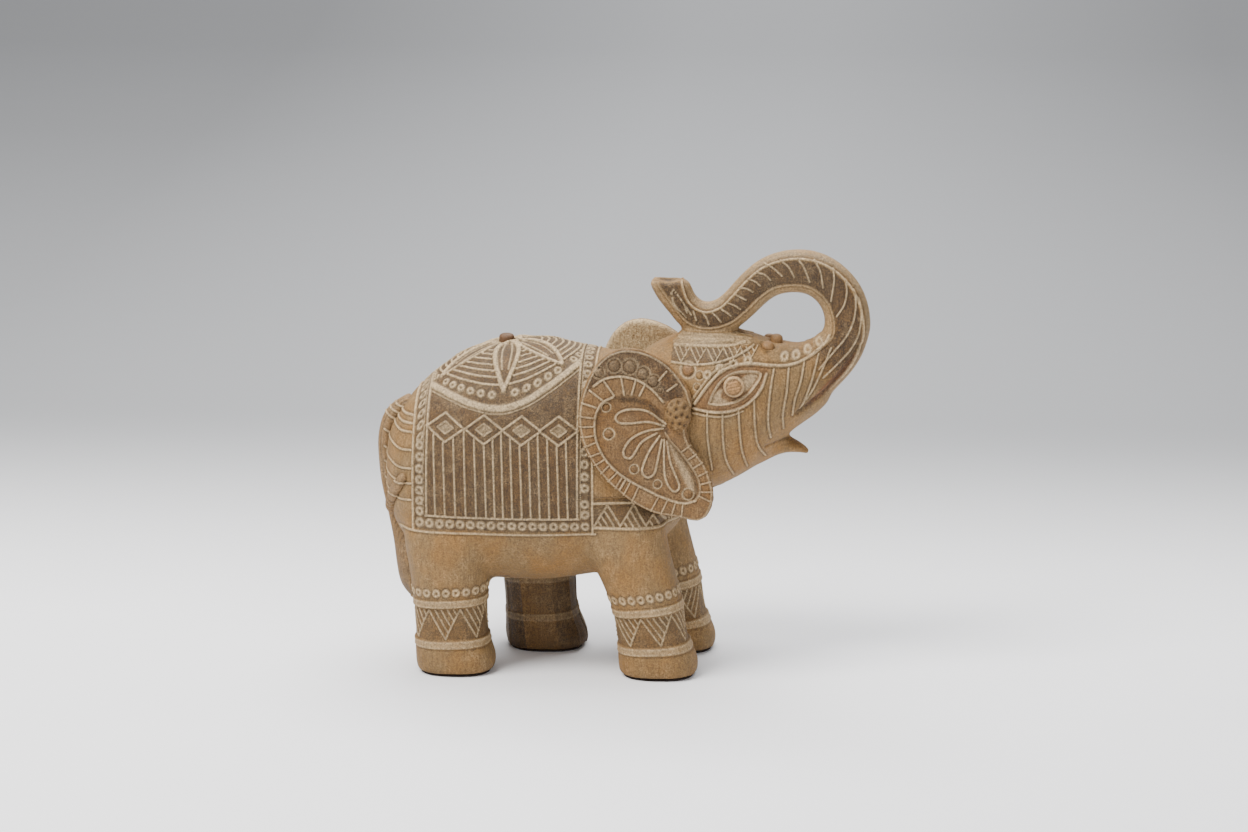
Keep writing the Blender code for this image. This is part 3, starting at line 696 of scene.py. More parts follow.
# ---- the ornament -------------------------------------------------------------------------------
def carve_blanket(surface):
    """The cloth on each flank: borders with punched rings, ribs, and a row of diamonds."""
    x, y, z = surface.verts.T
    facing = fade(np.abs(surface.normals[:, 1]), 0.25, 0.45)
    side = surface.chart((x > -80) & (x < -4) & (z > 48) & (facing > 0), x, z, facing)
    left, right = BLANKET_FIELD
    low, high = RIB_FOOT_Z, DIAMOND_Z
    girth = np.hypot(y, z - 75) * np.arctan2(np.abs(y), z - 75)
    band = surface.chart((x > -80) & (x < -4) & (z > BLANKET_BOTTOM - 4), x, girth)

    # The whole cloth is stained, its borders most.
    cloth = band.spots[:, 0]
    height = z[band.index]
    within = span(cloth, (BLANKET_LEFT, BLANKET_LEFT + 0.8), (BLANKET_RIGHT - 0.8, BLANKET_RIGHT))
    within *= fade(height, BLANKET_BOTTOM + 0.3, BLANKET_BOTTOM + 1.0)
    field = within * fade(cloth, left - 0.4, left + 0.4) * (1 - fade(cloth, right - 0.4, right + 0.4))
    field *= fade(height, low - 0.4, low + 0.4)
    band.wash(-0.18 * within - 0.12 * field, dark=0.94 * within)

    borders = ((BLANKET_LEFT, left, BORDER_LEFT_X), (BLANKET_RIGHT, right, BORDER_RIGHT_X))
    for edge, inner, middle in borders:
        toward = 1 if inner > edge else -1
        keep = fade(height, BLANKET_BOTTOM - 0.2, BLANKET_BOTTOM + 0.2)
        band.level(cloth - edge, 0.7, 0.3, 0.9, 0.3, keep)
        keep = fade(height, low - 0.6, low - 0.2)
        band.level(cloth - inner, 0.7, 0.25, 0.85, 0.5, keep)
        band.level(cloth - inner + 1.1 * toward, 0.45, 0.15, 0.5, 0.7, keep)
        for s in np.arange(2.0, 34.0, 4.0):
            band.ring_dot((middle, s), 1.5)
    for spots_z, middle in ((LEFT_DOTS_Z, BORDER_LEFT_X), (RIGHT_DOTS_Z, BORDER_RIGHT_X)):
        for at in spots_z[:-1]:
            side.ring_dot((middle, at), 1.6)
    for at in np.linspace(BORDER_LEFT_X, BORDER_RIGHT_X, BOTTOM_DOTS):
        side.ring_dot((at, BORDER_Z), 1.6)
    side.line([(-78.5, 52.6), (-76, 53.6), (-40, 53.4), (-8, 53.9)], 0.7, 0.3)
    side.line([(left - 0.4, low - 0.5), (right + 0.4, low - 0.3)], 0.66, 0.25)

    # Ribs rise from the border to the diamonds.
    half_x, half_z = DIAMOND_HALF
    for rib in RIBS_X:
        nearest = min(abs(rib - centre) for centre in DIAMONDS_X)
        top = high - half_z * max(0.0, 1 - nearest / half_x) - 0.4
        lean = -0.5
        side.line([(rib + 0.3, low), (rib, (low + top) / 2), (rib + lean, top)], 0.64, 0.3, 0.82, 0.6)
        for hair in (1.05, 2.15):
            side.groove([(rib + hair + 0.3, low + 1), (rib + hair + lean, top - 2)], 0.45, 0.14, 0.95)
    for centre in DIAMONDS_X:
        corners = [(0, half_z), (half_x, 0), (0, -half_z), (-half_x, 0), (0, half_z)]
        side.line([(centre + a, high + b) for a, b in corners], 0.7, 0.3, 0.85, smooth=False)
        inner = [(centre + 0.42 * a, high + 0.42 * b) for a, b in corners]
        side.line(inner, 0.6, 0.25, 0.7, smooth=False)
        side.panel(inner[:-1], 0.35, pale=0.4)


def carve_medallion(surface):
    """The lotus on the back: a waxed rim, a ring of dots, arcs, and petals round the boss."""
    x, y, z = surface.verts.T
    up = fade(surface.normals[:, 2], 0.0, 0.15)
    u = (x - MEDALLION_CENTRE[0]) / MEDALLION_HALF[0]
    v = y / MEDALLION_HALF[1]
    radius, turn = np.hypot(u, v), np.arctan2(v, u)
    mean = sum(MEDALLION_HALF) / 2
    # Seen from above the steep flank is narrow, so gaps there are stretched to their true size.
    steep = np.stack([u / MEDALLION_HALF[0], v / MEDALLION_HALF[1], np.zeros_like(u)], axis=1)
    steep *= (mean / np.maximum(radius, 1e-6))[:, None]
    sunk = (steep * surface.normals).sum(axis=1)[:, None] * surface.normals
    stretch = 1 / np.clip(np.linalg.norm(steep - sunk, axis=1), 0.25, 1.5)
    left, right = BLANKET_FIELD
    cut = span(x, (left - 0.2, left + 0.6), (right - 0.6, right + 0.2))
    where = (radius < 1.1) & (z > 90) & (cut > 0)
    sheet = surface.chart(where, radius * mean * np.cos(turn), radius * mean * np.sin(turn), up * cut)
    r, a, s = radius[sheet.index], turn[sheet.index], stretch[sheet.index]
    sheet.level((r - MEDALLION_RIM) * mean * s, 2.3, 0.4, 0.95, 0.5)
    sheet.level((r - MEDALLION_RIM) * mean * s - 2.0, 0.6, 0.2, 0.6, 0.4)

    turns = np.radians(PETAL_TURNS)
    away = np.abs((a[:, None] - turns[None, :] + math.pi) % (2 * math.pi) - math.pi)
    nearest = away.min(axis=1)
    start, reach = PETAL_REACH
    along = np.clip((r * np.cos(nearest) - start) / (reach - start), 0, 1)
    half = PETAL_HALF_WIDTH * np.sin(math.pi * along**0.8) ** 0.8
    across = r * mean * np.sin(nearest)
    outside = across - half
    petal = fade(-outside, -0.3, 0.3) * (along > 0) * (along < 1)
    for arc in MEDALLION_ARCS:
        sheet.level((r - arc) * mean * s, 0.75, 0.22, 0.95, 0.6, (1 - petal) * fade(outside, 0.2, 0.9))
    sheet.wash(-0.25 * petal, dark=0.5 * petal)
    ends = span(r, (start - 0.02, start + 0.02), (reach, reach + 0.04))
    sheet.level(outside, 1.5, 0.5, 1.0, 0.6, ends)
    sheet.level(across - 0.42 * half, 0.7, 0.25, 0.7, 0.6, ends * (along < 0.75) * (half > 1.2))
    sheet.level((r - 0.115) * mean, 1.7, 0.4, 1.0, 0.6)
    place = MEDALLION_DOTS * mean
    ring = surface.chart(where, turn * place, (radius - MEDALLION_DOTS) * mean * stretch, up * cut)
    for k in range(MEDALLION_DOT_COUNT):
        at = 2 * math.pi * (k + 0.5) / MEDALLION_DOT_COUNT - math.pi
        clear = min(abs((at - t + math.pi) % (2 * math.pi) - math.pi) for t in turns)
        if clear > 0.05:
            ring.ring_dot((at * place, 0.0), 1.45, 1.0, 0.6, 0.12)


def carve_legs(surface):
    """Bands, punched rings and hatched triangles round each leg."""
    x, y, z = surface.verts.T
    girth = 2 * math.pi * LEG_RADIUS
    steps = round(girth / LEG_PERIOD)
    half = LEG_BAND_HALF
    for leg in LEGS.values():
        heights, middles = zip(*leg["middle"])
        off = x - np.interp(z, heights, middles)
        out = y - leg["y"]
        own = (np.hypot(off, out) < 1.6 * LEG_RADIUS) & (z < LEG_TOP_Z) & (z > SOLE_Z + 0.5)
        own &= y * leg["y"] > 0
        turn = np.arctan2(off, math.copysign(1, leg["y"]) * out)
        low_slope, high_slope = leg["slopes"]
        slope = low_slope + (high_slope - low_slope) * np.clip((z - 11) / 15, 0, 1.2)
        sheet = surface.chart(own, turn * LEG_RADIUS, z - slope * off)
        level = sheet.spots[:, 1]
        upper, lower = leg["upper"], leg["lower"]
        strength = 1.0 if leg["full"] else PLAIN_LEG_STRENGTH
        top, foot = upper - half - 0.3, lower + half + 0.3
        panel = span(level, (foot - 0.3, foot + 0.3), (top - 0.3, top + 0.3))
        sheet.wash(-0.4 * panel * strength, dark=0.62 * panel * strength)
        for middle in (upper, lower):
            away = np.abs(level - middle)
            core = 1 - fade(away, half - 0.5, half + 0.1)
            line = bell(away - half + 0.35, 0.4)
            rise = 0.2 * core + 0.12 * line
            sheet.wash(rise * strength, pale=(0.42 * core + 0.4 * line * core) * strength)
            # Dark just outside each raised band: stain, and painted shadow beside the raise.
            edge = bell(away - half - 0.35, 0.35)
            sheet.wash(-0.15 * edge * strength, dark=0.5 * edge * strength)
        if leg["full"]:
            start = leg["phase"] - girth / 2
            sheet.cells(start, girth / steps, steps + 1, foot + 0.5, top - 0.2, 4, 0.6)
            for k in range(LEG_DOTS):
                sheet.ring_dot(((k + 0.5) * girth / LEG_DOTS - girth / 2, leg["dots"]), 1.45)
        else:
            facets(sheet)


def facets(sheet):
    """The plain far leg keeps the flat strokes of the knife, and is darkened all over with painted shade
    that varies from facet to facet.
    """
    turn, level = sheet.spots.T
    cell = 7.4
    across = np.abs((turn / cell) % 1.0 - 0.5)
    lower = 1 - fade(level, 27, 31)
    ridge = fade(across, 0.36, 0.5)
    # Painted shade: each facet gets its own darkness, strongest low on the leg.
    shade = 0.8 + 0.2 * np.sin(np.floor(turn / cell) * 2.3)
    sheet.wash(0.4 * ridge * lower, dark=shade * np.maximum(lower, 0.4))


# The chest band by height: where its stain starts and ends, its lines and its triangles.
CHEST_FOOT = (56.0, 56.8)
CHEST_TOP = (64.6, 65.2)
CHEST_FOOT_LINE = 56.2
CHEST_TOP_LINE = 65.3
CHEST_GROOVE = 67.0
CHEST_TRIANGLES = (57.0, 64.6)
CHEST_PERIOD = 9.2


def carve_chest(surface):
    """The band of hatched triangles that goes round the chest from blanket to blanket."""
    x, y, z = surface.verts.T
    run = x + np.maximum(0, 18 - np.abs(y)) * fade(x, 12, 16)
    where = (x > -9.5) & (z > 50) & (z < 72)
    sheet = surface.chart(where, run, z)
    level = sheet.spots[:, 1]
    begin = fade(sheet.spots[:, 0], -9.2, -8.4)
    band = span(level, CHEST_FOOT, CHEST_TOP) * begin
    sheet.wash(-0.3 * band, dark=0.75 * band)
    sheet.level(level - CHEST_TOP_LINE, 0.9, 0.3, 0.85, 0.7, begin)
    sheet.level(level - CHEST_GROOVE, 0.6, -0.3, 0.0, 0.8, begin)
    sheet.level(level - CHEST_FOOT_LINE, 0.9, 0.3, 0.8, 0.5, begin)
    sheet.cells(-3.6, CHEST_PERIOD, 6, CHEST_TRIANGLES[0], CHEST_TRIANGLES[1], 3, up=True)


def carve_rump(surface):
    """Short curved strokes behind the blanket."""
    x, _, z = surface.verts.T
    rump_strokes(surface.chart((x < -72.5) & (z > 58) & (z < 100), x, z))


def rump_strokes(sheet):
    for foot in RUMP_LINES_Z:
        stroke = [(-86.4, foot + 3.2), (-83, foot + 1.2), (-79, foot - 0.2), (-74.4, foot)]
        sheet.line(stroke, 0.66, 0.3, 0.8)


def trunk_place(verts):
    """Distance along the trunk's centre line, signed offset to its outer side, half thickness."""
    rows = smooth_line(TRUNK, 8)
    x, z = verts[:, 0], verts[:, 2]
    best = np.full(len(verts), np.inf)
    along, offset, half = np.zeros(len(verts)), np.zeros(len(verts)), np.ones(len(verts))
    run = 0.0
    for (ax, az, ah), (bx, bz, bh) in zip(rows, rows[1:]):
        dx, dz = bx - ax, bz - az
        length = math.hypot(dx, dz)
        t = np.clip(((x - ax) * dx + (z - az) * dz) / length**2, 0, 1)
        away = np.hypot(x - ax - t * dx, z - az - t * dz)
        side = ((x - ax) * dz - (z - az) * dx) / length
        closer = away < best
        best = np.where(closer, away, best)
        along = np.where(closer, run + t * length, along)
        offset = np.where(closer, np.sign(side) * away, offset)
        half = np.where(closer, ah + t * (bh - ah), half)
        run += length
    return along, offset, half, best


def carve_trunk(surface):
    """Borders along the trunk's two edges, a stained panel between them, its strokes, and a painted
    highlight along its rims.
    """
    x, _, z = surface.verts.T
    along, offset, half, away = trunk_place(surface.verts)
    facing = fade(np.abs(surface.normals[:, 1]), 0.12, 0.35)
    on_trunk = (away < half + 2) & (along > 6) & ((z > 123.4) | (x > 68))
    begin = fade(along, 7, 22)
    sheet = surface.chart(on_trunk & (facing > 0), x, z, facing)
    ids = sheet.index
    outer = half[ids] - TRUNK_OUTER_BORDER - offset[ids]
    inner = half[ids] - TRUNK_INNER_BORDER + offset[ids]
    keep = begin[ids] * (1 - fade(along[ids], 148, 152))
    panel = fade(outer, 0.2, 1.0) * fade(inner, -0.1, 0.7) * keep
    sheet.wash(-0.4 * panel, dark=1.0 * panel)
    outside = fade(-outer, 0.3, 0.7) * keep
    sheet.wash(-0.25 * fade(-outer, 0.2, 0.6) * keep, dark=0.6 * outside)
    sheet.wash(pale=0.3 * fade(-inner, 0.3, 1.2) * keep)
    sheet.level(outer, 0.62, 0.3, 0.85, 0.7, keep)
    sheet.level(inner, 0.6, 0.2, 0.3, 0.7, keep)
    for stroke in TRUNK_STROKES:
        sheet.line(stroke, 0.56, 0.3, 0.8, 0.5)
    # Painted highlight: the last millimetre or so at each edge of the trunk is paled, as if its rims
    # caught the light.
    edge = surface.chart(on_trunk & (along > 12), along, offset)
    rim = np.abs(offset[edge.index]) - half[edge.index] + 0.9
    edge.wash(pale=0.3 * fade(rim, -0.6, 0.6))


EYE_CENTRE = (40.7, 106.8)
EYE_OUTER_LOW = [
    (26.2, 99.0), (33, 97.9), (39, 98), (44, 99.6), (48, 102.6), (50.6, 106.2), (52, 110.4),
]
EYE_OUTER_HIGH = [
    (26.8, 100.6), (31, 106.6), (35.5, 111.3), (41, 113.7), (47, 114), (53, 113.2), (59, 112.9),
    (64, 114), (69, 117), (73, 121), (74.6, 125),
]
EYE_ALMOND = [
    (32.0, 100.9), (33.4, 104.4), (36, 108.4), (40, 111.1), (45, 111.6), (50, 110.6), (48, 106.6),
    (45, 103.4), (41, 101.3), (36, 100.5),
]
CHEEK_LINES = [
    [(31.4, 97.4), (31.6, 88), (33, 76)],
    [(36.8, 97.4), (37, 88), (37.9, 80), (40.4, 73)],
    [(42.4, 98.4), (42.9, 90), (43.6, 83), (45.2, 76)],
    [(47.8, 101.6), (48.2, 92), (49.1, 85), (51.6, 79.4)],
    [(54.6, 112), (53.4, 104), (52.7, 94), (53.6, 87)],
    [(59.8, 112.4), (59.2, 104), (57.9, 96), (58, 90)],
    [(65.2, 113.8), (64, 107), (62, 100.6), (61.2, 95)],
    [(70.2, 116.6), (68.2, 108), (66, 101.6), (64, 97)],
    [(74.6, 118.6), (71.4, 110.4), (68.6, 104.6), (66, 100.4)],
]
EYE_DOTS = [
    (31.2, 110.6), (35.6, 112.9), (40.4, 114.2), (45.4, 115),
    (58.2, 115.6), (62.2, 115.9), (66.2, 117.6), (70.2, 120.4),
]
EYE_WHITES = [
    [(32.6, 101.3), (34.2, 104.6), (36.6, 106), (36.2, 103), (39, 101.4), (36, 100.9)],
    [(43.4, 109.6), (46, 110.9), (49.2, 110.3), (47.4, 107.2), (44.6, 104.8)],
]
MOUTH = [(63, 95.6), (68, 99.4), (72.6, 102.8), (77.4, 107.8), (81.6, 113.4), (84.8, 119.4)]
MOUTH_INSIDE = [
    (66, 97.4), (72, 101.4), (79, 108), (84, 116), (81.6, 115.2), (76, 108.6), (70, 102.6),
]


# The forehead by height: a stained belt with triangles, and the pale crown over it.
BELT_FOOT = (113.6, 114.4)
BELT_TOP = (118.8, 119.4)
CROWN_FOOT = (119.4, 120.0)
CROWN_TOP = (122.8, 123.2)
BELT_FOOT_LINE = [(18, 114.2), (26, 113.8), (34, 114.6), (41, 116.6), (47, 119.4)]
BELT_TOP_LINE = [(19, 119.2), (28, 119.5), (38, 119.6), (44, 120.4)]
CROWN_LINE = [(17, 121), (28, 121.2), (40, 121)]
CREST_LINES_Y = (3.5, 7.0, 10.5)
BROW_PIT = (52, 118)
LIP_CREASE = [(52, 83.5), (58, 84.6), (62, 84.4)]
EYE_MOAT_RADIUS = 4.2
# Knobs behind the eye: x, z, radius, height, warmth.
TEMPLE_KNOBS = [(24.2, 112.0, 1.9, 0.7, 0.4), (28.4, 110.4, 1.1, 0.4, 0.0), (27.6, 106.6, 0.9, 0.4, 0.0)]


def carve_head(surface):
    """Eyes, brow, cheeks, mouth, and the band of triangles over the forehead."""
    x, y, z = surface.verts.T
    facing = fade(np.abs(surface.normals[:, 1]), 0.1, 0.3)
    side = surface.chart((x > 18) & (z < 123.2) & (facing > 0), x, z, facing)
    side.panel(EYE_ALMOND, 0.55, 0.5, True, dark=0.35)
    for white in EYE_WHITES:
        side.panel(white, 0.1, 0.4, True, pale=0.6)
    side.line(EYE_ALMOND + EYE_ALMOND[:1], 0.7, 0.25, 0.85)
    between = [*EYE_OUTER_HIGH[:6], (52, 110.4), *EYE_OUTER_LOW[::-1]]
    side.panel(between, 0.12, 0.5, True, warm=0.35, dark=0.3)
    side.line(EYE_OUTER_LOW, 0.8, 0.4, 0.9)
    side.line([(p, q - 1.6) for p, q in EYE_OUTER_LOW[:4]], 0.6, 0.25, 0.7)
    side.line(EYE_OUTER_HIGH, 0.85, 0.45, 0.95)
    side.line([(p - 1.0, q + 1.0) for p, q in EYE_OUTER_HIGH[:4]], 0.7, 0.2, 0.6)
    turn = np.linspace(0, 2 * math.pi, 25)[:, None]
    moat = EYE_CENTRE + EYE_MOAT_RADIUS * np.hstack([np.cos(turn), np.sin(turn)])
    side.groove(moat, 0.9, 0.3, 0.7)
    for dot in EYE_DOTS:
        side.ring_dot(dot, 1.5, 1.0, 0.5)
    for knob_x, knob_z, radius, rise, warm in TEMPLE_KNOBS:
        side.boss((knob_x, knob_z), radius, rise, warm=warm)
    for stroke in CHEEK_LINES:
        side.line(stroke, 0.6, 0.3, 0.72, 0.7)
    u, v = side.spots.T
    belt = span(v, BELT_FOOT, BELT_TOP)
    crown = span(v, CROWN_FOOT, CROWN_TOP)
    brow = (1 - fade(u, 44, 49)) * fade(v - 0.32 * u, 101.6, 103.0)
    side.wash(-0.2 * belt * brow, dark=0.85 * belt * brow, pale=0.4 * crown * brow)
    side.pit(BROW_PIT, 1.7, 0.7, 0.8)
    side.line(BELT_FOOT_LINE, 0.66, 0.35, 0.85)
    side.cells(21.5, 6.0, 5, 114.4, 119.2, 2, 0.42)
    side.line(BELT_TOP_LINE, 0.66, 0.3, 0.8)
    side.line(CROWN_LINE, 0.8, 0.3, 0.6)
    top = (x > 14) & (x < 52) & (z > 119) & (z < 125) & (surface.normals[:, 2] > 0.5)
    crest = surface.chart(top, x, y)
    for across in CREST_LINES_Y:
        for way in (-across, across):
            crest.line([(20, way), (34, way), (46, way * 0.8)], 0.8, 0.25, 0.5)
    side.groove(MOUTH, 1.6, 0.9, 0.9)
    at, inward = side.inside(np.array(MOUTH_INSIDE))
    side.put(at, 0.0, warm=0.9 * fade(inward, -0.6, 0.4))
    side.groove(LIP_CREASE, 1.0, 0.5, 0.6)


EAR_ROOT = (19.8, 97.6)
EAR_INNER = [
    (16.6, 97), (13, 100.8), (8.4, 103.4), (3, 104.4), (-1.6, 104), (-5.2, 102.2), (-7.3, 98.5),
    (-7.8, 94), (-7, 88.6), (-4, 82.6), (0.4, 77.8), (5, 74.5), (10, 71.7), (15, 69.1), (20, 67.1),
    (24.2, 66.2), (27.8, 67), (29.3, 70), (28.6, 74.4), (26, 79.2), (22.4, 84), (18.8, 88), (17, 91),
]
EAR_SECOND = [
    (16, 101.8), (12, 106.3), (7.6, 109.3), (3, 110.9), (-1.2, 111.1), (-5.2, 110.2), (-8.4, 108),
]
EAR_TICKS = [
    [(1.2, 111), (2.3, 104.6)],
    [(6.3, 109.8), (4.9, 104.6)],
    [(9.5, 107.9), (7.6, 104.2)],
    [(-5.0, 110), (-1.2, 104.6)],
    [(-9.8, 106.7), (-5.2, 103)],
    [(-12.3, 102.3), (-7.5, 100.6)],
    [(1.2, 71.8), (3.3, 75.2)],
    [(20.6, 107.8), (17.4, 105.6)],
    [(17.0, 112.4), (14.4, 109.4)],
]
EAR_RIM_TICKS = 46
EAR_RIM_WIDTH = 6.6
EAR_BOSSES = [
    (-6.6, 112.8, 1.5), (-1.2, 115.0, 1.8), (4.2, 114.5, 2.0), (8.8, 111.9, 1.8),
    (12.4, 109.2, 1.7), (14.8, 106.0, 0.8),
]
EAR_PETALS = [
    [
        (17, 94.2), (11, 98.6), (5, 99.6), (1, 98.7), (-0.5, 96.8), (1, 95), (5, 94.7), (11, 95),
        (16.6, 93.4),
    ],
    [
        (16.2, 92.6), (10, 91.7), (5.2, 89.3), (2.7, 85.8), (2.8, 83.2), (5, 82.6), (6.7, 84.8),
        (9, 88.2), (14, 91),
    ],
    [
        (15, 90), (11.4, 84.6), (9.3, 79.4), (9.4, 76.8), (11.3, 75.6), (13.4, 77), (14.4, 81),
        (15.8, 88.6),
    ],
    [
        (16.6, 88.6), (16.7, 81), (17.2, 75.4), (18.9, 71.6), (20.8, 70.4), (22.2, 72), (21.2, 75.2),
        (19, 80.4), (17.6, 88),
    ],
]
EAR_DOTS = [
    (-3.8, 100.6, 1.5), (-2.7, 91.3, 1.8), (6.3, 78.7, 1.5), (14.5, 73.2, 1.4), (25.3, 69.4, 1.9),
]
EAR_CRESCENT = [
    (17.6, 89.4), (21.5, 83.6), (25.2, 78), (27.6, 73), (28, 69.4), (25, 72), (22, 78.4), (19, 85),
]
EAR_SHADOW = [(17.4, 91.4), (13.4, 99), (8, 102.4), (2, 103.2)]
EAR_EDGE = [
    (26.2, 101), (23.6, 107.6), (17.4, 115), (8.8, 119.8), (0.2, 120.6), (-6.6, 116.8), (-11.4, 108.6),
    (-13.8, 98), (-12, 87.4), (-6, 77.2), (3, 68.6), (12.6, 63), (21.8, 61), (28.8, 59.4), (32.6, 62.2),
    (34.1, 69), (31.3, 78.4), (26, 86), (24.2, 92.6),
]
EAR_FOLD = [(27.6, 67.8), (28.2, 72), (25.6, 78), (21.6, 83.4), (17.6, 88.6)]
EAR_CENTRE = (8.0, 90.0)
LEFT_EAR_AHEAD = (2.2, 0.8)


def carve_ear(surface, side):
    """The fan: a ticked rim round a sunk field with teardrop petals, under a band of bosses."""
    x, _, z = surface.verts.T
    if side > 0:
        x, z = x - LEFT_EAR_AHEAD[0], z - LEFT_EAR_AHEAD[1]
    outward = surface.normals[:, 1] * side
    sheet = surface.chart(outward > -0.2, x, z, fade(outward, 0.0, 0.5))
    inner = smooth_line(EAR_INNER + EAR_INNER[:1])
    sheet.wash(warm=0.22, dark=0.28)
    at, inward = sheet.inside(inner[:-1])
    deep = fade(inward, -0.3, 0.9) * 0.75 + fade(inward, 0.0, 7.0) * 0.35
    sheet.put(at, -deep, dark=0.42 * fade(inward, -0.3, 0.5))
    # Painted shadow just inside the field's border, where it drops below the rim.
    sheet.put(at, 0.0, dark=0.75 * bell(inward - 0.5, 0.8))
    sheet.line(EAR_INNER[4:17], 0.7, 0.3, 0.85, 0.6)
    sheet.line(EAR_INNER[16:], 0.6, 0.2, 0.4, 0.8)
    sheet.groove(EAR_SHADOW, 2.2, 0.7, 0.95)
    sheet.groove(EAR_FOLD, 1.3, 0.5, 0.85)
    crown_edge = EAR_SECOND + [(-11.4, 104.6), *EAR_EDGE[6:2:-1], (17.4, 115), (23.6, 107.6), (23, 103)]
    sheet.panel(crown_edge, 0.3, 0.5, dark=0.95)
    sheet.line(EAR_SECOND, 0.7, 0.35, 0.85, 0.8)
    for tick in EAR_TICKS:
        sheet.line(tick, 0.6, 0.3, 0.8, 0.7)
    rim = smooth_line(EAR_EDGE + EAR_EDGE[:1], 8)
    inwards = EAR_CENTRE - rim
    inwards /= np.linalg.norm(inwards, axis=1)[:, None]
    sheet.line(rim + inwards, 0.6, 0.2, 0.5, 0.5, smooth=False)
    whole = np.concatenate([[0], np.cumsum(np.linalg.norm(np.diff(rim, axis=0), axis=1))])
    for place in np.linspace(0, whole[-1], EAR_RIM_TICKS, endpoint=False):
        at_rim = np.array([np.interp(place, whole, rim[:, k]) for k in range(2)])
        to_inner = inner - at_rim
        closest = inner[np.argmin(np.hypot(*to_inner.T))]
        beside_head = at_rim[1] > 88 and at_rim[0] > 20
        if np.hypot(*(closest - at_rim)) < EAR_RIM_WIDTH and at_rim[1] < 104 and not beside_head:
            sheet.line([at_rim, at_rim + 0.92 * (closest - at_rim)], 0.5, 0.25, 0.6, 0.8)
    back = surface.chart(outward < 0, x, z, fade(-outward, 0.0, 0.5))
    # Painted highlight on the back of each ear: paler towards its front edge, as if lit there, and
    # warmer brown towards the rear.
    painted_highlight = 1 - fade(back.spots[:, 0], 4, 22)
    back.wash(pale=1.2 * painted_highlight, warm=0.35 * (1 - painted_highlight))
    for boss_x, boss_z, radius in EAR_BOSSES:
        sheet.boss((boss_x, boss_z), radius, 0.6, pale=0.15, warm=0.15, ring=0.35)
    for petal in EAR_PETALS:
        sheet.panel(petal, -0.12, 0.5, True, warm=0.3)
        sheet.line(petal, 0.66, 0.3, 0.85, 0.75)
    for dot_x, dot_z, radius in EAR_DOTS:
        sheet.boss((dot_x, dot_z), 0.75 * radius, 0.5, ring=0.95, warm=0.2)
    sheet.panel(EAR_CRESCENT, -0.3, 0.7, True, pale=0.5)


ROSETTE_RINGS = ((5, 2.3, 0.3), (9, 4.1, 0.0))  # holes: how many, how far out, turn of the first
ROSETTE_STRETCH = 1.25  # the carved rosette is taller than the head of its peg
ROSETTE_SHIFT = (1.0, -0.6)  # and sits a little forward and down of it


IRIS_RING_RADIUS = 3.3
IRIS_LINE_STEP = 1.1


def carve_iris(surface, side):
    """The plug of the eye: a waxed ring round fine lines along its grain."""
    x, _, z = surface.verts.T
    u, v = x - EYE_CENTRE[0], z - EYE_CENTRE[1]
    sheet = surface.chart(surface.normals[:, 1] * side > 0.1, u, v)
    away = np.hypot(*sheet.spots.T)
    sheet.level(away - IRIS_RING_RADIUS, 0.75, 0.15, 0.6, 0.9)
    for k in (-2, -1, 0, 1, 2):
        across = IRIS_LINE_STEP * k
        sheet.groove([(-2.3, across - 0.5), (2.3, across + 0.5)], 0.4, 0.1, 0.6, smooth=False)


def carve_rosette(surface, side):
    """The peg's head with its punched holes."""
    x, _, z = surface.verts.T
    shift = LEFT_EAR_AHEAD if side > 0 else (0.0, 0.0)
    u, v = x - EAR_ROOT[0] - shift[0], z - EAR_ROOT[1] - shift[1]
    u, v = u - ROSETTE_SHIFT[0], v - ROSETTE_SHIFT[1]
    sheet = surface.chart(surface.normals[:, 1] * side > 0.2, u, v)
    rim = fade(np.hypot(sheet.spots[:, 0], sheet.spots[:, 1] / ROSETTE_STRETCH), 4.2, 5.2)
    sheet.wash(dark=0.3 + 0.3 * rim)
    spots = [(0.0, 0.0)]
    for count, out, first in ROSETTE_RINGS:
        for k in range(count):
            turn = first + k * 2 * math.pi / count
            spots.append((out * math.cos(turn), ROSETTE_STRETCH * out * math.sin(turn)))
    for spot in spots:
        sheet.pit(spot, 1.35, 0.8, 1.0)


def carve_tail(surface):
    """Long cuts that part the hair of the tail."""
    x, y, z = surface.verts.T
    sheet = surface.chart(x < 0, y, z)
    for start in np.arange(-18, 8, 1.7):
        drift = -11.0 + (start + 5) * 0.35
        low = (start * 0.6 - 2.5, 48)
        cut = [(start, 96), (start, 62), low, (drift, 36), (-11 + 0.12 * start, 25)]
        sheet.groove(cut, 0.6, 0.3, 0.7)
    sheet.wash(warm=0.2, pale=0.12)
    rump_strokes(surface.chart((surface.normals[:, 1] < 0) & (z > 60), x, z))


# ---- assembly -----------------------------------------------------------------------------------
def carved(mesh, voxel, where, ornament):
    """A surface divided where there is carving, divided again along its strokes, and carved."""
    verts, tris = arrays_of(mesh)

    def coarse(a, b):
        longer = np.linalg.norm(verts[a] - verts[b], axis=1) > LONGEST_SHARE * voxel
        return longer & where((verts[a] + verts[b]) / 2)

    verts, tris = refined(verts, tris, coarse)
    draft = Surface(verts, tris)
    ornament(draft)
    tint = np.stack([*draft.tint.values(), draft.height], axis=1)

    def along_strokes(a, b):
        return (np.abs(tint[a] - tint[b]) > STROKE_CONTRAST).any(axis=1)

    surface = Surface(*refined(verts, tris, along_strokes))
    ornament(surface)
    return surface


def body_carving(middle):
    """Which places on the body block are carved, and so divided finely."""
    x, _, z = middle.T
    blanket = (x > -90) & (x < -7) & (z > 52)
    chest = (x > -10) & (z > 54) & (z < 69)
    legs = (z > SOLE_Z + 0.4) & (z < 34)
    return blanket | chest | legs


def head_carving(middle):
    """The same for the head block: all of it but the part behind the ears."""
    x, _, z = middle.T
    hidden = (x < 20) & (z > 69)
    return ~hidden | (z < 69)


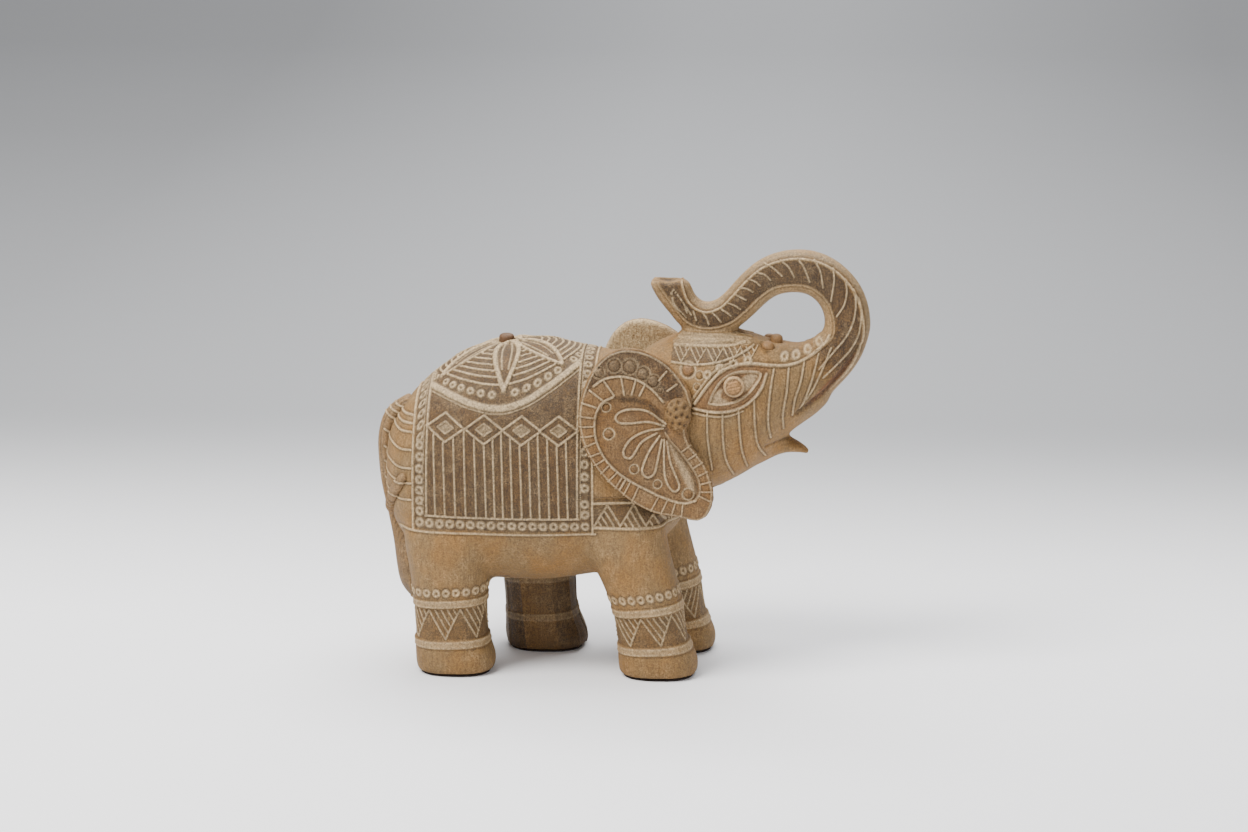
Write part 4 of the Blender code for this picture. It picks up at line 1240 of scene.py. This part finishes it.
def carve_body(surface):
    carve_blanket(surface)
    carve_medallion(surface)
    carve_legs(surface)
    carve_chest(surface)
    carve_rump(surface)


def carve_front(surface):
    carve_trunk(surface)
    carve_head(surface)
    carve_chest(surface)


def all_over(middle):
    return np.ones(len(middle), bool)


def build(look, eye_look, stud_look):
    """Every carved piece, each in place of its own CAD node.

    The two blocks and the eyes are softened as one and then sawn apart at the neck, so that the
    skin runs on across the joint and no gap is left round the eyes.
    """
    eyes = ["right_eye", "left_eye"]
    blocks = ["body_block", "head_block", *eyes]
    carcass = softened(blocks, BODY_VOXEL, BODY_PASSES, trunk_growth, firmness)
    along = Vector((THROAT[0] - NAPE[0], 0, THROAT[1] - NAPE[1])).normalized()
    normal = Vector((-along.z, 0, along.x))
    nape = Vector((NAPE[0], 0, NAPE[1]))
    behind = sawn(carcass, nape - normal * GLUE_GAP, -normal)
    body = carved(behind, BODY_VOXEL, body_carving, carve_body)
    stands_for(body.piece("body_carved", look), "body_block")
    ahead = sawn(carcass, nape, normal)
    head = carved(ahead, BODY_VOXEL, head_carving, carve_front)
    stands_for(head.piece("head_carved", look), "head_block")

    for name, side in (("right", -1), ("left", 1)):
        ear_mesh = softened([name + "_ear"], EAR_VOXEL, EAR_PASSES)
        ear = carved(ear_mesh, EAR_VOXEL, all_over, lambda surface: carve_ear(surface, side))
        stands_for(ear.piece(name + "_ear_carved", look), name + "_ear")
        peg_mesh = softened([name + "_ear_peg"], SMALL_VOXEL, SMALL_PASSES)
        peg_verts, peg_tris = arrays_of(peg_mesh)
        root_z = EAR_ROOT[1] + (LEFT_EAR_AHEAD[1] if side > 0 else 0.0)
        peg_verts[:, 2] = root_z + ROSETTE_SHIFT[1] + ROSETTE_STRETCH * (peg_verts[:, 2] - root_z)
        peg_verts[:, 0] += ROSETTE_SHIFT[0]
        peg = Surface(peg_verts, peg_tris)
        carve_rosette(peg, side)
        stands_for(peg.piece(name + "_rosette", look), name + "_ear_peg")
        eye = Surface(*arrays_of(softened([name + "_eye"], SMALL_VOXEL, SMALL_PASSES, EYE_GROWTH)))
        carve_iris(eye, side)
        stands_for(eye.piece(name + "_iris", eye_look), name + "_eye")
        small(name + "_brow_stud", name + "_brow_knob", stud_look, STUD_GROWTH)
    small("centre_brow_stud", "centre_brow_knob", stud_look, STUD_GROWTH)
    lotus_look = plain_wood("lotus brown", LOTUS_BROWN, (1, 1, 6))
    small("lotus_boss", "lotus_knob", lotus_look, STUD_GROWTH)

    tail_mesh = softened(["tail"], TAIL_VOXEL, TAIL_PASSES, TAIL_GROWTH)
    tail_mesh.transform(Matrix.Translation((TAIL_GROWTH * MM, 0, 0)))
    tail = carved(tail_mesh, TAIL_VOXEL, all_over, carve_tail)
    stands_for(tail.piece("tail_carved", look), "tail")


def stands_for(piece, node):
    """The piece takes the place of the CAD node, which is hidden."""
    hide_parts(node)


def small(node, name, look, grow):
    """A plug or stud with its facets smoothed away, grown to close its glue line."""
    piece = placed(name, softened([node], SMALL_VOXEL, SMALL_PASSES, grow), look)
    piece.data.shade_smooth()
    stands_for(piece, node)


def set_cad_looks(dowel_look, felt_look):
    """New materials on the CAD nodes: felt on the pads and dowel wood on the rest."""
    for name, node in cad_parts.items():
        look = felt_look if name.endswith("_pad") else dowel_look
        for slot in range(len(node.data.materials)):
            node.data.materials[slot] = look


# ---- room, light and camera ---------------------------------------------------------------------
def make_room():
    """A pale floor that bends up into the wall behind."""
    near, far, top, radius = -2.6, 2.4, 2.6, 0.8
    profile = [(near, 0.0), (far - radius, 0.0)]
    profile += [
        (far - radius + radius * math.sin(a), radius - radius * math.cos(a))
        for a in np.linspace(0, math.pi / 2, 13)[1:]
    ]
    profile.append((far, top))
    half = 3.0
    verts = [(x, y, z) for y, z in profile for x in (-half, half)]
    faces = [(2 * i, 2 * i + 1, 2 * i + 3, 2 * i + 2) for i in range(len(profile) - 1)]
    mesh = bpy.data.meshes.new("sweep")
    mesh.from_pydata(verts, [], faces)
    mesh.shade_smooth()
    look = Look("paper")
    cloud = look.noise(60.0, 2.0)
    pale = linear(FLOOR)
    floor = look.mix(cloud, [c * 0.97 for c in pale], pale)
    # Painted shade: the paper turns from floor colour to a grey behind the object, and darker still far
    # to each side and further back, where less light would reach.
    behind = look.ramp(look.axis("Y"), 0.02, 0.4)
    behind.node.interpolation_type = "SMOOTHSTEP"
    colour = look.mix(behind, floor, linear(WALL_SHADE))
    aside = look.math("ABSOLUTE", look.math("ADD", look.axis("X"), 0.03))
    aside = look.ramp(aside, 0.05, 0.34)
    high = look.ramp(look.axis("Y"), 0.15, 1.2, 0.35, 1.0)
    dim = look.times(aside, high)
    dim = look.times(dim, look.ramp(behind, 0.0, 1.0, 0.06, 0.36))
    colour = look.mix(dim, colour, linear(SHADE))
    mesh.materials.append(look.finish(colour, look.ramp(cloud, 0, 1, 0.7, 0.8), cloud, 0.05))
    sweep = linked("sweep", mesh)


def area_light(name, place, aim, size, watts, colour=(1, 1, 1)):
    light = bpy.data.lights.new(name, "AREA")
    light.size = size
    light.energy = watts
    light.color = colour
    obj = linked(name, light)
    obj.location = place
    obj.rotation_euler = (Vector(aim) - Vector(place)).to_track_quat("-Z", "Y").to_euler()


def make_lights():
    """A soft key from the upper left, a weak fill, a light from above and one on the wall."""
    middle = (0, 0, 0.08)
    area_light("key", (-0.6, -0.45, 1.15), middle, 0.6, 34.0, (1.0, 0.98, 0.95))
    area_light("fill", (0.9, -1.2, 0.5), middle, 1.2, 10.0, (0.95, 0.97, 1.0))
    area_light("top", (0.1, 0.4, 1.3), middle, 1.0, 25.0)
    area_light("wall", (0.0, 1.4, 1.5), (0.0, 1.9, 0.0), 1.4, 36.0)
    world = bpy.data.worlds.new("air")
    bpy.context.scene.world = world
    world.use_nodes = True
    background = world.node_tree.nodes["Background"]
    background.inputs["Color"].default_value = (0.93, 0.95, 1.0, 1.0)
    background.inputs["Strength"].default_value = 0.42


def make_camera():
    """The camera faces the right flank from a little ahead and above."""
    azimuth, elevation = math.radians(VIEW_AZIMUTH), math.radians(VIEW_ELEVATION)
    target = Vector(VIEW_TARGET) * MM
    out = Vector(
        (
            math.sin(azimuth) * math.cos(elevation),
            -math.cos(azimuth) * math.cos(elevation),
            math.sin(elevation),
        )
    )
    camera = bpy.data.cameras.new("view")
    camera.lens = VIEW_LENS
    camera.sensor_width = 36.0
    camera.clip_start = 0.01
    camera.clip_end = 20.0
    obj = linked("view", camera)
    obj.location = target + out * VIEW_DISTANCE * MM
    obj.rotation_euler = (-out).to_track_quat("-Z", "Y").to_euler()
    bpy.context.scene.camera = obj


def plain(box):
    return [list(corner) for corner in box]


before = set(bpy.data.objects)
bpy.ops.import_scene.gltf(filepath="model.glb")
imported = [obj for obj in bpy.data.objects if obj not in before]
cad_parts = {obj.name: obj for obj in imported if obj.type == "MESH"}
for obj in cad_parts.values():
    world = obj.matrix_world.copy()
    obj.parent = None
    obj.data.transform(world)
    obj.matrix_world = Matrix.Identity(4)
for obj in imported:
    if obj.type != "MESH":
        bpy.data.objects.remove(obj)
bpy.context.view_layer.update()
set_cad_looks(plain_wood("dowel", DOWEL, (1, 1, 9)), felt())
build(
    carved_wood("carved"),
    carved_wood("eye wood", (1, 6, 1), EYE_BROWN, EYE_BROWN),
    plain_wood("stud brown", STUD_BROWN, (1, 1, 6)),
)
make_room()
make_lights()
make_camera()
